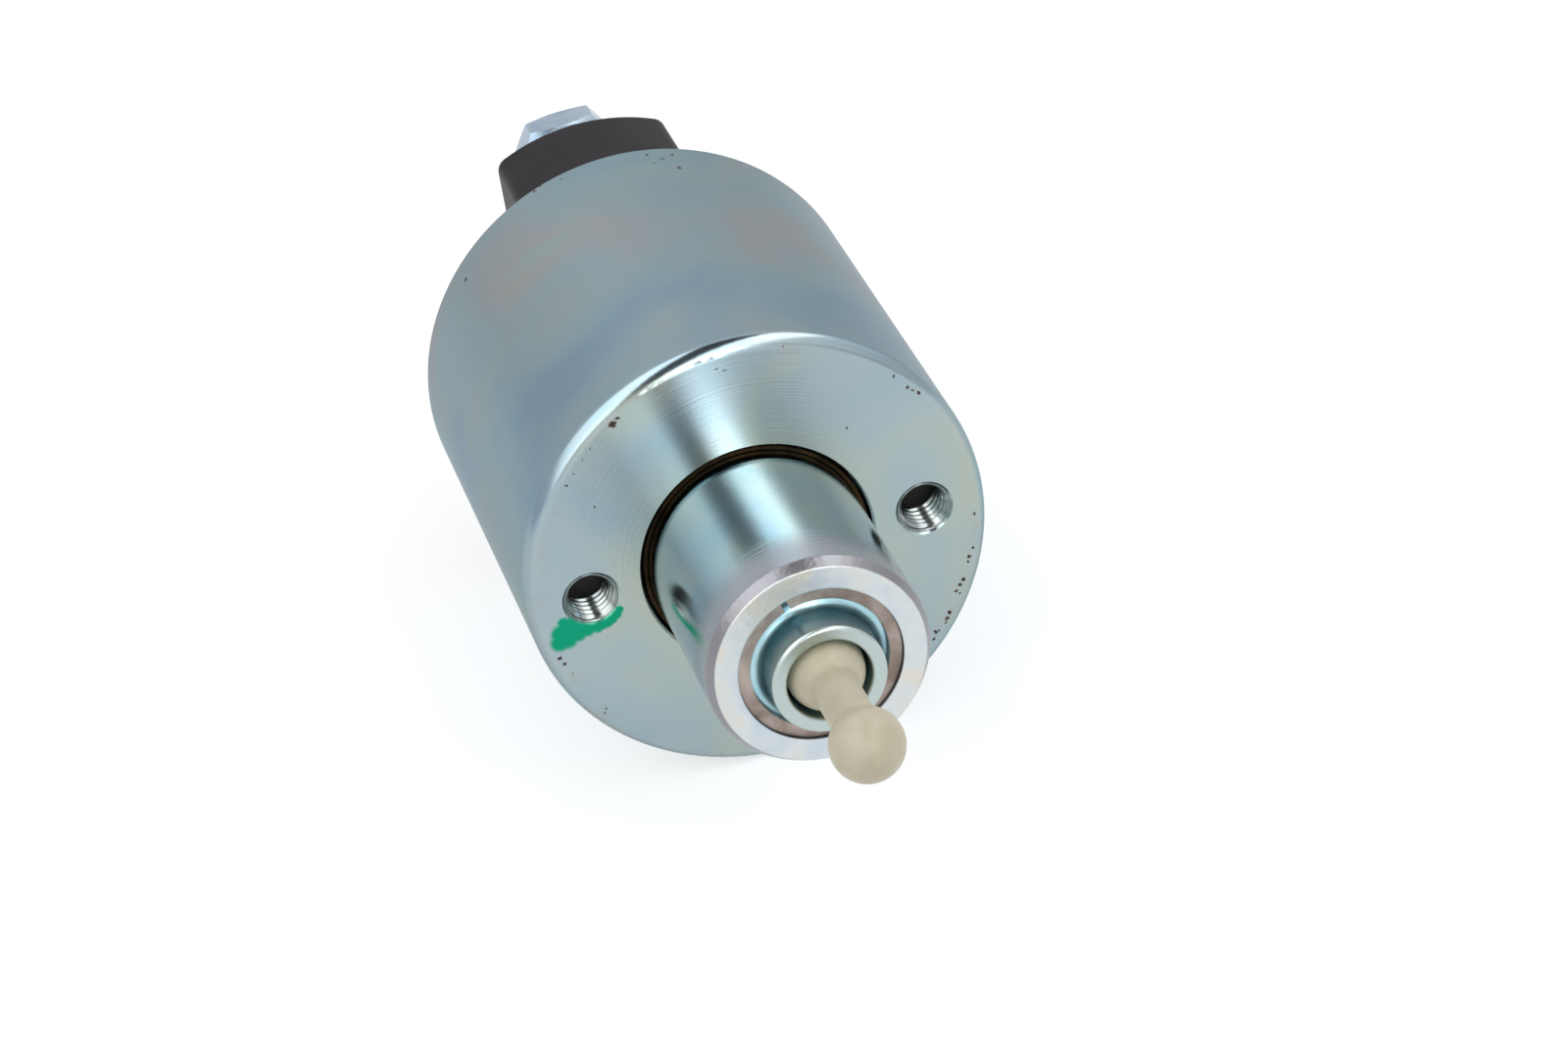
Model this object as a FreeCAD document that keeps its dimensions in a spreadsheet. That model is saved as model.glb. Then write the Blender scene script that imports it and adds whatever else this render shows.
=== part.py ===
import FreeCAD, Part
import math
import os
import re
import Sketcher

# Starter solenoid, in millimetres. The origin is the centre of the mounting face. The plunger
# points to -Y and the housing runs to +Y. The two fixing holes lie on the X axis and +Z is up.
# A "station" is a place along Y.

SIZES = (
    ("housing_radius", 27.5, "outside of the steel housing"),
    ("housing_length", 53.9, "mounting face to the rolled rear lip"),
    ("housing_wall", 2.5, "wall behind the core plate's shoulder"),
    ("plate_step", 0.5, "shoulder that the core plate rests on"),
    ("front_wall", 5.0, "closed front of the housing"),
    ("rim_round", 1.6, "rounded edge round the mounting face"),
    ("rear_round", 0.8, "rounded rear edge of the housing"),
    ("bore_radius", 13.8, "plunger opening in the front wall"),
    ("bore_bevel", 0.25, "broken edge of the plunger opening"),
    ("hole_spacing", 40.0, "distance between the fixing holes"),
    ("hole_radius", 3.0, "fixing thread at its major diameter"),
    ("hole_sink_radius", 3.45, "countersink at the fixing holes"),
    ("lip_length", 1.9, "rolled lip behind the cap's flange"),
    ("lip_reach", 0.8, "how far the lip is rolled inwards"),
    ("fit_gap", 0.05, "gap between pieces that are fixed together"),
    ("cap_flange", 7.5, "round flange of the cap"),
    ("plate_thickness", 5.0, "core plate"),
    ("sleeve_wall", 0.45, "brass guide sleeve"),
    ("sleeve_recess", 0.7, "sleeve behind the mounting face"),
    ("running_gap", 0.08, "radial clearance of what slides in a guide"),
    ("bobbin_wall", 1.3, "barrel of the bobbin"),
    ("bobbin_flange", 2.0, "flanges of the bobbin"),
    ("bobbin_margin", 0.3, "bobbin flange inside the housing"),
    ("pull_in_depth", 3.6, "thick inner winding"),
    ("wrap_depth", 0.4, "tape over the windings"),
    ("wrap_gap", 1.22, "tape inside the edge of the bobbin's flanges"),
    ("core_recess_depth", 6.0, "seat of the plunger spring in the core"),
    ("core_neck_radius", 9.0, "core where the plate is pressed on"),
    ("core_bevel", 0.6, "front edge of the core"),
    ("plunger_radius", 12.9, "plunger"),
    ("plunger_reach", 26.3, "plunger in front of the mounting face"),
    ("plunger_rear", 15.0, "station of the plunger's inner end"),
    ("plunger_stroke", 10.5, "travel of the plunger"),
    ("closed_gap", 0.3, "plunger to core when pulled in"),
    ("nose_bevel_length", 1.3, "bevel of the plunger's front, along Y"),
    ("nose_bevel_depth", 0.75, "bevel of the plunger's front, radial"),
    ("tail_bevel", 0.6, "bevel of the plunger's inner end"),
    ("spring_recess_radius", 10.0, "seats of the plunger spring"),
    ("spring_recess_depth", 3.0, "seat of the plunger spring in the plunger"),
    ("plunger_floor", 5.0, "web between the plunger's two bores"),
    ("plunger_bore_radius", 8.4, "bore of the engagement spring"),
    ("ring_seat_radius", 9.5, "counterbore of the retaining ring"),
    ("ring_recess", 0.5, "ring behind the plunger's end face"),
    ("ring_thickness", 1.0, "retaining ring"),
    ("ring_inner_radius", 8.0, "retaining ring"),
    ("ring_split", 0.7, "gap in the retaining ring"),
    ("ring_split_angle", 109.0, "where the gap is, from +X towards +Z"),
    ("collar_flange", 1.5, "flange of the collar"),
    ("collar_flange_radius", 9.4, "flange of the collar"),
    ("collar_radius", 6.6, "outside of the collar's tube"),
    ("collar_wall", 1.73, "wall of the collar's tube"),
    ("collar_reach", 29.9, "collar's rim in front of the mounting face"),
    ("collar_land", 0.4, "flat of the collar's flange inside the ring"),
    ("collar_rim_round", 0.4, "edges of the collar's rim"),
    ("ball_radius", 4.25, "ball of the link rod"),
    ("ball_reach", 44.1, "centre of the ball in front of the face"),
    ("neck_radius", 2.6, "neck of the link rod"),
    ("neck_fillet", 1.4, "neck into the ball and the dome"),
    ("shank_radius", 4.5, "link rod inside the collar, and its dome"),
    ("dome_reach", 27.6, "base of the dome in front of the face"),
    ("rod_head_radius", 7.9, "head of the link rod"),
    ("rod_head_thickness", 3.0, "head of the link rod"),
    ("rod_head_gap", 0.1, "head of the link rod off the bore's floor"),
    ("rod_washer_thickness", 1.0, "steel seat on the rod's head"),
    ("rod_washer_radius", 7.8, "steel seat on the rod's head"),
    ("rod_washer_bore", 4.6, "steel seat on the rod's head"),
    ("engage_wire", 0.9, "wire radius of the engagement spring"),
    ("engage_radius", 6.5, "mean radius of the engagement spring"),
    ("engage_turns", 7, "turns of the engagement spring"),
    ("return_wire", 0.7, "wire radius of the plunger spring"),
    ("return_radius", 8.9, "mean radius of the plunger spring"),
    ("return_turns", 5, "turns of the plunger spring"),
    ("spring_gap", 0.05, "gap at each end of a spring"),
    ("cap_rise", 18.3, "terminal block behind the rear lip"),
    ("cap_seal_thickness", 1.0, "rubber ring between plate and cap"),
    ("cap_seal_width", 2.6, "rubber ring between plate and cap"),
    ("chamber_wall", 4.45, "wall of the round part of the contact chamber"),
    ("cap_chamber_depth", 5.0, "round part of the contact chamber"),
    ("block_gap", 0.3, "curved ends of the terminal block inside the rolled lip"),
    ("block_left", 11.1, "side of the terminal block towards -X"),
    ("block_right", 10.6, "side of the terminal block towards +X"),
    ("block_wall", 2.3, "walls of the terminal block"),
    ("block_corner", 1.8, "corners of the terminal block"),
    ("block_edge", 0.6, "rear edge of the terminal block"),
    ("end_wall", 6.5, "rear wall of the terminal block"),
    ("stud_inset", 8.8, "stud axes inside the ends of the terminal block"),
    ("stud_shift", 1.0, "stud axes towards -X"),
    ("stud_radius", 4.0, "thread at its major diameter"),
    ("engaged_radius", 3.6, "thread inside the nut, at its pitch diameter"),
    ("stud_bevel", 0.9, "end of the studs"),
    ("stud_play", 0.1, "hole round a stud"),
    ("stud_rise", 7.0, "stud behind its nut"),
    ("head_side", 10.5, "square contact head"),
    ("head_thickness", 3.5, "square contact head"),
    ("head_bevel", 0.5, "edge of the contact face"),
    ("seal_radius", 6.0, "rubber washer under a contact head"),
    ("seal_thickness", 1.0, "rubber washer under a contact head"),
    ("washer_radius", 7.5, "flat washer"),
    ("washer_thickness", 1.6, "flat washer"),
    ("lock_radius", 7.0, "spring washer"),
    ("lock_thickness", 2.1, "spring washer"),
    ("lock_split", 1.2, "gap of the spring washer"),
    ("lock_lean", 25.0, "slant of the spring washer's gap"),
    ("nut_flats", 14.0, "across the nut's flats"),
    ("nut_height", 4.5, "nut"),
    ("nut_face_radius", 6.65, "flat inside the bevel of a nut's face"),
    ("nut_turn", 3.6, "turn of the nuts, from +X towards +Z"),
    ("contact_travel", 2.625, "travel of the moving contact"),
    ("contact_rest", 0.05, "bridge to contact heads when closed"),
    ("push_gap", 0.1, "plunger to contact rod when pulled in"),
    ("contact_rod_radius", 2.5, "contact rod"),
    ("stop_radius", 5.5, "flange of the contact rod"),
    ("stop_thickness", 1.5, "flange of the contact rod"),
    ("stop_gap", 0.1, "flange of the contact rod off the core"),
    ("bridge_inset", 5.4, "copper bridge inside the ends of the terminal block"),
    ("bridge_width", 12.0, "copper bridge"),
    ("bridge_thickness", 2.5, "copper bridge"),
    ("bridge_corner", 2.0, "corners of the copper bridge"),
    ("bush_radius", 3.6, "insulating bush in the bridge"),
    ("bush_flange_radius", 5.5, "insulating bush's flange and washer"),
    ("bush_flange", 1.2, "insulating bush's flange and washer"),
    ("clip_radius", 4.0, "clip on the contact rod"),
    ("clip_thickness", 0.7, "clip on the contact rod"),
    ("clip_groove", 1.8, "radius in the clip's groove"),
    ("clip_mouth", 2.4, "open side of the clip"),
    ("rod_tail", 1.2, "contact rod behind the clip"),
    ("contact_wire", 0.5, "wire radius of the contact spring"),
    ("contact_spring_radius", 4.2, "mean radius of the contact spring"),
    ("contact_turns", 4, "turns of the contact spring"),
    ("opening_wire", 0.4, "wire radius of the opening spring"),
    ("opening_radius", 4.8, "mean radius of the opening spring"),
    ("opening_turns", 4, "turns of the opening spring"),
    ("opening_pocket_radius", 6.0, "seat of the opening spring"),
    ("opening_pocket_depth", 3.0, "seat of the opening spring"),
    ("blade_width", 6.3, "blade terminal"),
    ("blade_thickness", 0.8, "blade terminal"),
    ("blade_inset", 4.0, "middle of the blade inside the round part of the chamber"),
    ("blade_rise", 12.1, "blade behind the rear lip"),
    ("blade_tail", 2.0, "blade inside the chamber"),
    ("blade_tip", 1.2, "bevelled corners of the blade"),
    ("blade_eye_radius", 0.9, "latch hole of the blade"),
    ("blade_eye_inset", 5.0, "latch hole from the blade's end"),
    ("pedestal_margin", 2.2, "moulding round the blade"),
    ("pedestal_rise", 2.1, "moulding behind the rear lip"),
    ("pull_in_lead_radius", 0.55, "wire of the pull-in winding"),
    ("hold_in_lead_radius", 0.35, "wire of the hold-in winding"),
    ("lead_play", 0.3, "passage round a lead"),
    ("motor_lead_gap", 1.2, "motor lead beside the moving bridge"),
    ("earth_lead_inset", 3.1, "earth lead inside the cap's rubber ring"),
    ("earth_lead_foot", 4.0, "earth lead's foot on the core plate"),
)

# Places that follow from the sizes, each from sizes and places above it.
PLACES = (
    ("housing_inner", "housing_radius - housing_wall"),
    ("coil_radius", "housing_inner - plate_step"),
    ("flange_rear", "housing_length - lip_length"),
    ("seal_rear", "flange_rear - cap_flange"),
    ("plate_rear", "seal_rear - cap_seal_thickness"),
    ("plate_front", "plate_rear - plate_thickness"),
    ("cap_seal_outer", "housing_inner - bobbin_margin"),
    ("cap_seal_inner", "cap_seal_outer - cap_seal_width"),
    ("cap_chamber_radius", "housing_inner - fit_gap - chamber_wall"),
    ("blade_place", "cap_chamber_radius - blade_inset"),
    ("block_radius", "housing_inner - lip_reach - block_gap"),
    ("stud_height", "block_radius - stud_inset"),
    ("bridge_reach", "block_radius - bridge_inset"),
    ("earth_lead_place", "cap_seal_inner - earth_lead_inset"),
    ("cap_rear", "housing_length + cap_rise"),
    ("cap_floor", "cap_rear - end_wall"),
    ("head_rear", "cap_floor - seal_thickness"),
    ("head_front", "head_rear - head_thickness"),
    ("bridge_rear", "head_front - contact_rest - contact_travel"),
    ("bridge_front", "bridge_rear - bridge_thickness"),
    ("bush_front", "bridge_front - bush_flange"),
    ("bush_rear", "bridge_rear + bush_flange"),
    ("clip_front", "bush_rear + fit_gap"),
    ("clip_rear", "clip_front + clip_thickness"),
    ("sleeve_inner", "plunger_radius + running_gap"),
    ("sleeve_outer", "sleeve_inner + sleeve_wall"),
    ("bobbin_inner", "sleeve_outer + fit_gap"),
    ("bobbin_barrel", "bobbin_inner + bobbin_wall"),
    ("bobbin_outer", "coil_radius - bobbin_margin"),
    ("winding_front", "front_wall + bobbin_flange"),
    ("winding_rear", "plate_front - bobbin_flange"),
    ("pull_in_outer", "bobbin_barrel + pull_in_depth"),
    ("wrap_outer", "bobbin_outer - wrap_gap"),
    ("hold_in_outer", "wrap_outer - wrap_depth"),
    ("core_radius", "sleeve_inner - fit_gap"),
    ("core_front", "plunger_rear + plunger_stroke + closed_gap"),
    ("core_recess_floor", "core_front + core_recess_depth"),
    ("core_bore", "contact_rod_radius + running_gap"),
    ("plunger_tip", "-plunger_reach"),
    ("recess_floor", "plunger_rear - spring_recess_depth"),
    ("bore_floor", "recess_floor - plunger_floor"),
    ("ring_front", "plunger_tip + ring_recess"),
    ("collar_front", "ring_front + ring_thickness"),
    ("collar_seat", "collar_front + collar_flange"),
    ("collar_tip", "-collar_reach"),
    ("collar_inner", "collar_radius - collar_wall"),
    ("collar_hollow", "ring_inner_radius - collar_radius - collar_land"),
    ("ball_tip", "-ball_reach - ball_radius"),
    ("ball_neck", "sqrt(ball_radius ^ 2 - neck_radius ^ 2) - ball_reach"),
    ("dome_base", "-dome_reach"),
    ("dome_neck", "dome_base - sqrt(shank_radius ^ 2 - neck_radius ^ 2)"),
    ("rod_head_rear", "bore_floor - rod_head_gap"),
    ("rod_head_front", "rod_head_rear - rod_head_thickness"),
    ("rod_washer_front", "rod_head_front - rod_washer_thickness"),
    ("contact_rod_tip", "recess_floor + plunger_stroke - contact_travel + push_gap"),
    ("stop_front", "plate_rear + stop_gap"),
    ("stop_rear", "stop_front + stop_thickness"),
    ("contact_rod_end", "clip_rear + rod_tail"),
    ("washer_rear", "cap_rear + washer_thickness"),
    ("lock_rear", "washer_rear + lock_thickness"),
    ("nut_rear", "lock_rear + nut_height"),
    ("stud_end", "nut_rear + stud_rise"),
    ("blade_front", "seal_rear + cap_chamber_depth - blade_tail"),
    ("blade_end", "housing_length + blade_rise"),
    ("opening_floor", "cap_floor + opening_pocket_depth"),
    ("start_lead_x", "blade_place + blade_thickness / 2 + pull_in_lead_radius"),
    ("motor_lead_x", "bridge_width / 2 + motor_lead_gap"),
    ("head_edge_x", "head_side / 2 - stud_shift"),
    ("engage_start", "collar_seat + spring_gap"),
    ("engage_length", "rod_washer_front - collar_seat - 2 * spring_gap"),
    ("return_start", "recess_floor + spring_gap"),
    ("return_length", "core_recess_floor - recess_floor - 2 * spring_gap"),
    ("contact_start", "stop_rear + spring_gap"),
    ("contact_length", "bush_front - stop_rear - 2 * spring_gap"),
    ("opening_start", "bush_rear + spring_gap"),
    ("opening_length", "opening_floor - bush_rear - 2 * spring_gap"),
)

OWNER = {name: "Sizes." for name, value, meaning in SIZES}
OWNER.update({name: "Places." for name, formula in PLACES})

# From a primitive's own axis, +Z, to the solenoid's axis, +Y.
ALONG_Y = FreeCAD.Rotation(FreeCAD.Vector(1, 0, 0), -90)

doc = FreeCAD.newDocument("starter_solenoid")


def bound(text):
    """Name the owner of each size and place in an expression."""
    return re.sub(r"[a-z]\w+", lambda word: OWNER.get(word[0], "") + word[0], text)


def fill_sheet():
    sheet = doc.addObject("Spreadsheet::Sheet", "Sizes")
    for row, (name, value, meaning) in enumerate(SIZES, 1):
        sheet.set(f"A{row}", name)
        sheet.set(f"B{row}", str(value))
        sheet.set(f"C{row}", meaning)
        sheet.setAlias(f"B{row}", name)
    doc.recompute()
    return sheet


def fill_places():
    places = doc.addObject("App::VarSet", "Places")
    for name, formula in PLACES:
        places.addProperty("App::PropertyFloat", name, "Places")
        places.setExpression(name, bound(formula))
    doc.recompute()
    return places


sizes = fill_sheet()
places = fill_places()


def value(name):
    """The present number of a size or a place."""
    owner = sizes if OWNER[name] == "Sizes." else places
    return float(getattr(owner, name))


def guess(text, fallback):
    """Where a sketch's corner starts, before its constraints move it."""
    if text == "0":
        return 0.0
    return value(text) if text in OWNER else fallback


def new_sketch(body, name, role, offset="0"):
    """A sketch on one of the body's own planes, moved along the plane's normal."""
    plane = next(item for item in body.Origin.OriginFeatures if item.Role == role)
    sketch = body.newObject("Sketcher::SketchObject", name)
    sketch.AttachmentSupport = [(plane, "")]
    sketch.MapMode = "FlatFace"
    sketch.setExpression("AttachmentOffset.Base.z", bound(offset))
    return sketch


def tie_point(sketch, geometry, point, across, up):
    """Hold a point of a sketch at two sizes from the sketch's origin."""
    for kind, axis, text in (("DistanceX", -2, across), ("DistanceY", -1, up)):
        if text == "0":
            sketch.addConstraint(Sketcher.Constraint("PointOnObject", geometry, point, axis))
            continue
        number = sketch.addConstraint(Sketcher.Constraint(kind, geometry, point, guess(text, 1.0)))
        sketch.setExpression(f"Constraints[{number}]", bound(text))


def outline(sketch, corners):
    """Draw a closed chain of corners. An edge marked "arc" turns about a point on the V axis."""
    count = len(corners)
    spots = []
    for index, corner in enumerate(corners):
        turn = 2 * math.pi * index / count
        across = guess(corner[0], 12 + 9 * math.cos(turn))
        spots.append(FreeCAD.Vector(across, guess(corner[1], 9 * math.sin(turn)), 0))
    for index, corner in enumerate(corners):
        first, last = spots[index], spots[(index + 1) % count]
        if len(corner) == 3:
            chord = last - first
            middle = (first + last) / 2
            centre = FreeCAD.Vector(0, middle.y + chord.x * middle.x / chord.y, 0)
            spokes = [first - centre, last - centre]
            angles = [math.atan2(spoke.y, spoke.x) for spoke in spokes]
            circle = Part.Circle(centre, FreeCAD.Vector(0, 0, 1), spokes[0].Length)
            sketch.addGeometry(Part.ArcOfCircle(circle, angles[0], angles[1]), False)
            sketch.addConstraint(Sketcher.Constraint("PointOnObject", index, 3, -2))
        else:
            sketch.addGeometry(Part.LineSegment(first, last), False)
    for index in range(count):
        joint = Sketcher.Constraint("Coincident", index, 2, (index + 1) % count, 1)
        sketch.addConstraint(joint)
    for index, corner in enumerate(corners):
        tie_point(sketch, index, 1, corner[0], corner[1])


def circles(sketch, radius, centres):
    """Draw equal circles at centres given as pairs of expressions."""
    for index, (across, up) in enumerate(centres):
        centre = FreeCAD.Vector(10 * index, 10, 0)
        sketch.addGeometry(Part.Circle(centre, FreeCAD.Vector(0, 0, 1), 1 + index), False)
        number = sketch.addConstraint(Sketcher.Constraint("Radius", index, 1 + index))
        sketch.setExpression(f"Constraints[{number}]", bound(radius))
        tie_point(sketch, index, 3, across, up)


def new_body(name):
    body = doc.addObject("PartDesign::Body", name)
    body.Label = name
    return body


def turned(name, corners):
    """A body turned about Y from an outline of (radius, station) corners."""
    body = new_body(name)
    sketch = new_sketch(body, name + "_outline", "XY_Plane")
    outline(sketch, corners)
    turn = body.newObject("PartDesign::Revolution", name + "_turn")
    turn.Profile = sketch
    turn.ReferenceAxis = (sketch, ["V_Axis"])
    turn.Angle = 360
    return body


def ring(name, inner, outer, front, rear):
    """A plain turned ring."""
    corners = [(inner, front), (outer, front), (outer, rear), (inner, rear)]
    return turned(name, corners)


def extrude(body, kind, name, sketch, length, towards_rear=True):
    """Pad or pocket a sketch along Y. A sketch on the XZ plane faces the front."""
    feature = body.newObject("PartDesign::" + kind, name)
    feature.Profile = sketch
    feature.Reversed = towards_rear == (kind == "Pad")
    feature.setExpression("Length", bound(length))
    doc.recompute()
    return feature


def drill(body, name, radius, centres, front, depth):
    """Pocket round holes of one radius into a body, from a station to the rear."""
    before = body.Tip.Shape.Volume
    sketch = new_sketch(body, name + "_circles", "XZ_Plane", f"-({front})")
    circles(sketch, radius, centres)
    feature = extrude(body, "Pocket", name, sketch, depth)
    if feature.Shape.Volume > before - 1e-6:
        raise ValueError(name + " cuts nothing")
    return feature


def dress(body, kind, edge_test, size):
    """Round or bevel the edges of the body that pass a test."""
    doc.recompute()
    base = body.Tip
    names = [f"Edge{number}" for number, edge in enumerate(base.Shape.Edges, 1) if edge_test(edge)]
    if not names:
        raise ValueError(f"no edge to dress on {body.Name}")
    feature = body.newObject("PartDesign::" + kind, f"{body.Name}_{kind.lower()}")
    feature.Base = (base, names)
    feature.setExpression("Radius" if kind == "Fillet" else "Size", bound(size))
    doc.recompute()
    return feature


def circle_edge(radius, station):
    """A test for the circular edge of one radius at one station."""
    def passes(edge):
        if edge.Degenerated or not isinstance(edge.Curve, Part.Circle):
            return False
        curve = edge.Curve
        return abs(curve.Radius - radius) < 0.01 and abs(curve.Center.y - station) < 0.01
    return passes


def make_housing():
    """Drawn cup: closed front with the plunger's opening, shoulder for the plate, rolled lip."""
    body = turned("housing", [
        ("bore_radius", "0"),
        ("housing_radius", "0"),
        ("housing_radius", "housing_length"),
        ("housing_inner - lip_reach", "housing_length"),
        ("housing_inner - lip_reach", "flange_rear + fit_gap"),
        ("housing_inner", "flange_rear - lip_reach + fit_gap"),
        ("housing_inner", "plate_front"),
        ("coil_radius", "plate_front"),
        ("coil_radius", "front_wall"),
        ("bore_radius", "front_wall"),
    ])
    dress(body, "Fillet", circle_edge(value("housing_radius"), 0), "rim_round")
    rear_edge = circle_edge(value("housing_radius"), value("housing_length"))
    dress(body, "Fillet", rear_edge, "rear_round")
    dress(body, "Chamfer", circle_edge(value("bore_radius"), 0), "bore_bevel")
    sketch = new_sketch(body, "fixing_centres", "XZ_Plane")
    circles(sketch, "hole_radius", [("hole_spacing / 2", "0"), ("-hole_spacing / 2", "0")])
    doc.recompute()
    holes = body.newObject("PartDesign::Hole", "fixing_holes")
    holes.Profile = sketch
    doc.recompute()
    holes.DepthType = "ThroughAll"
    holes.HoleCutType = "Countersink"
    holes.HoleCutCustomValues = True
    holes.HoleCutCountersinkAngle = 90
    holes.setExpression("Diameter", bound("2 * hole_radius"))
    holes.setExpression("HoleCutDiameter", bound("2 * hole_sink_radius"))
    doc.recompute()
    return body


def lead_passages(body, name, front, depth):
    """Holes through which the leads leave the windings."""
    drill(body, name + "_thick", "pull_in_lead_radius + lead_play", [
        ("start_lead_x", "0"),
        ("motor_lead_x", "-stud_height"),
    ], front, depth)
    drill(body, name + "_thin", "hold_in_lead_radius + lead_play", [
        ("start_lead_x", "hold_in_lead_radius + pull_in_lead_radius"),
        ("-earth_lead_place", "0"),
    ], front, depth)


def make_bobbin():
    body = turned("bobbin", [
        ("bobbin_inner", "front_wall"),
        ("bobbin_outer", "front_wall"),
        ("bobbin_outer", "winding_front"),
        ("bobbin_barrel", "winding_front"),
        ("bobbin_barrel", "winding_rear"),
        ("bobbin_outer", "winding_rear"),
        ("bobbin_outer", "plate_front"),
        ("bobbin_inner", "plate_front"),
    ])
    doc.recompute()
    lead_passages(body, "flange_passage", "winding_rear", "bobbin_flange")
    return body


def make_windings():
    windings = [
        ("pull_in_winding", "bobbin_barrel", "pull_in_outer"),
        ("hold_in_winding", "pull_in_outer", "hold_in_outer"),
        ("winding_wrap", "hold_in_outer", "wrap_outer"),
    ]
    return [
        ring(name, inner, outer, "winding_front", "winding_rear")
        for name, inner, outer in windings
    ]


def make_fixed_core():
    body = turned("fixed_core", [
        ("core_bore", "core_recess_floor"),
        ("spring_recess_radius", "core_recess_floor"),
        ("spring_recess_radius", "core_front"),
        ("core_radius", "core_front"),
        ("core_radius", "plate_front"),
        ("core_neck_radius", "plate_front"),
        ("core_neck_radius", "plate_rear"),
        ("core_bore", "plate_rear"),
    ])
    dress(body, "Chamfer", circle_edge(value("core_radius"), value("core_front")), "core_bevel")
    return body


def make_core_plate():
    hole = "core_neck_radius + fit_gap"
    edge = "housing_inner - fit_gap"
    body = ring("core_plate", hole, edge, "plate_front", "plate_rear")
    doc.recompute()
    lead_passages(body, "plate_passage", "plate_front", "plate_thickness")
    return body


def make_plunger():
    """Turned slug: spring bore and ring seat in front, spring recess behind, a web between."""
    body = turned("plunger", [
        ("0", "recess_floor"),
        ("0", "bore_floor"),
        ("plunger_bore_radius", "bore_floor"),
        ("plunger_bore_radius", "collar_seat"),
        ("ring_seat_radius", "collar_seat"),
        ("ring_seat_radius", "plunger_tip"),
        ("plunger_radius - nose_bevel_depth", "plunger_tip"),
        ("plunger_radius", "plunger_tip + nose_bevel_length"),
        ("plunger_radius", "plunger_rear"),
        ("spring_recess_radius", "plunger_rear"),
        ("spring_recess_radius", "recess_floor"),
    ])
    tail = circle_edge(value("plunger_radius"), value("plunger_rear"))
    dress(body, "Chamfer", tail, "tail_bevel")
    return body


def make_plunger_ring():
    """Split ring in the mouth of the plunger, which keeps the collar in."""
    edge = "ring_seat_radius - fit_gap"
    body = ring("plunger_ring", "ring_inner_radius", edge, "ring_front", "collar_front")
    doc.recompute()
    sketch = new_sketch(body, "ring_split_shape", "XZ_Plane", "-ring_front")
    angle = "ring_split_angle * 1deg"
    inside = "ring_inner_radius - 1"
    outside = "ring_seat_radius + 1"
    corners = []
    for reach, side in ((inside, "+"), (outside, "+"), (outside, "-"), (inside, "-")):
        other = "-" if side == "+" else "+"
        across = f"({reach}) * cos({angle}) {side} ring_split / 2 * sin({angle})"
        up = f"({reach}) * sin({angle}) {other} ring_split / 2 * cos({angle})"
        corners.append((across, up))
    outline(sketch, corners)
    extrude(body, "Pocket", "ring_split_cut", sketch, "ring_thickness")
    return body


def make_collar():
    """Flanged collar: the flange bears on the spring, the tube guides the link rod."""
    body = turned("collar", [
        ("collar_inner", "collar_tip"),
        ("collar_radius", "collar_tip"),
        ("collar_radius", "collar_front"),
        ("collar_flange_radius", "collar_front"),
        ("collar_flange_radius", "collar_seat"),
        ("collar_inner", "collar_seat"),
    ])
    dress(body, "Fillet", circle_edge(value("collar_radius"), value("collar_front")), "collar_hollow")
    dress(body, "Fillet", circle_edge(value("collar_radius"), value("collar_tip")), "collar_rim_round")
    dress(body, "Fillet", circle_edge(value("collar_inner"), value("collar_tip")), "collar_rim_round")
    return body


def make_link_rod():
    """Nylon rod: ball, neck, dome in the collar's mouth, shank and a head inside the plunger."""
    body = turned("link_rod", [
        ("0", "ball_tip", "arc"),
        ("neck_radius", "ball_neck"),
        ("neck_radius", "dome_neck", "arc"),
        ("shank_radius", "dome_base"),
        ("shank_radius", "rod_head_front"),
        ("rod_head_radius", "rod_head_front"),
        ("rod_head_radius", "rod_head_rear"),
        ("0", "rod_head_rear"),
    ])
    for station in ("ball_neck", "dome_neck"):
        dress(body, "Fillet", circle_edge(value("neck_radius"), value(station)), "neck_fillet")
    return body


def coil_spring(name, prefix):
    """Round wire wound about Y, with its end turns laid flatter. Sections are joined in a loft."""
    wire = value(prefix + "_wire")
    radius = value(prefix + ("_radius" if prefix != "contact" else "_spring_radius"))
    length = value(prefix + "_length")
    turns = int(value(prefix + "_turns"))
    sides, per_turn = 8, 14
    pitch = (length - 2 * wire) / turns
    flat = 0.8 * max(0.0, 1 - 2 * wire / pitch)
    sections = []
    for step in range(turns * per_turn + 1):
        wound = step / per_turn
        risen = min(max(wound - flat, 0.0), turns - 2 * flat) / (turns - 2 * flat)
        angle = 2 * math.pi * wound
        outwards = FreeCAD.Vector(math.cos(angle), 0, math.sin(angle))
        centre = outwards * radius + FreeCAD.Vector(0, wire + (length - 2 * wire) * risen, 0)
        corners = []
        for side in range(sides + 1):
            around = 2 * math.pi * side / sides
            across = outwards * (wire * math.cos(around))
            corners.append(centre + across + FreeCAD.Vector(0, wire * math.sin(around), 0))
        sections.append(Part.makePolygon(corners))
    spring = doc.addObject("Part::Feature", name)
    spring.Shape = Part.makeLoft(sections, True, True)
    spring.Label = name
    spring.setExpression("Placement.Base.y", bound(prefix + "_start"))
    return spring


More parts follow.
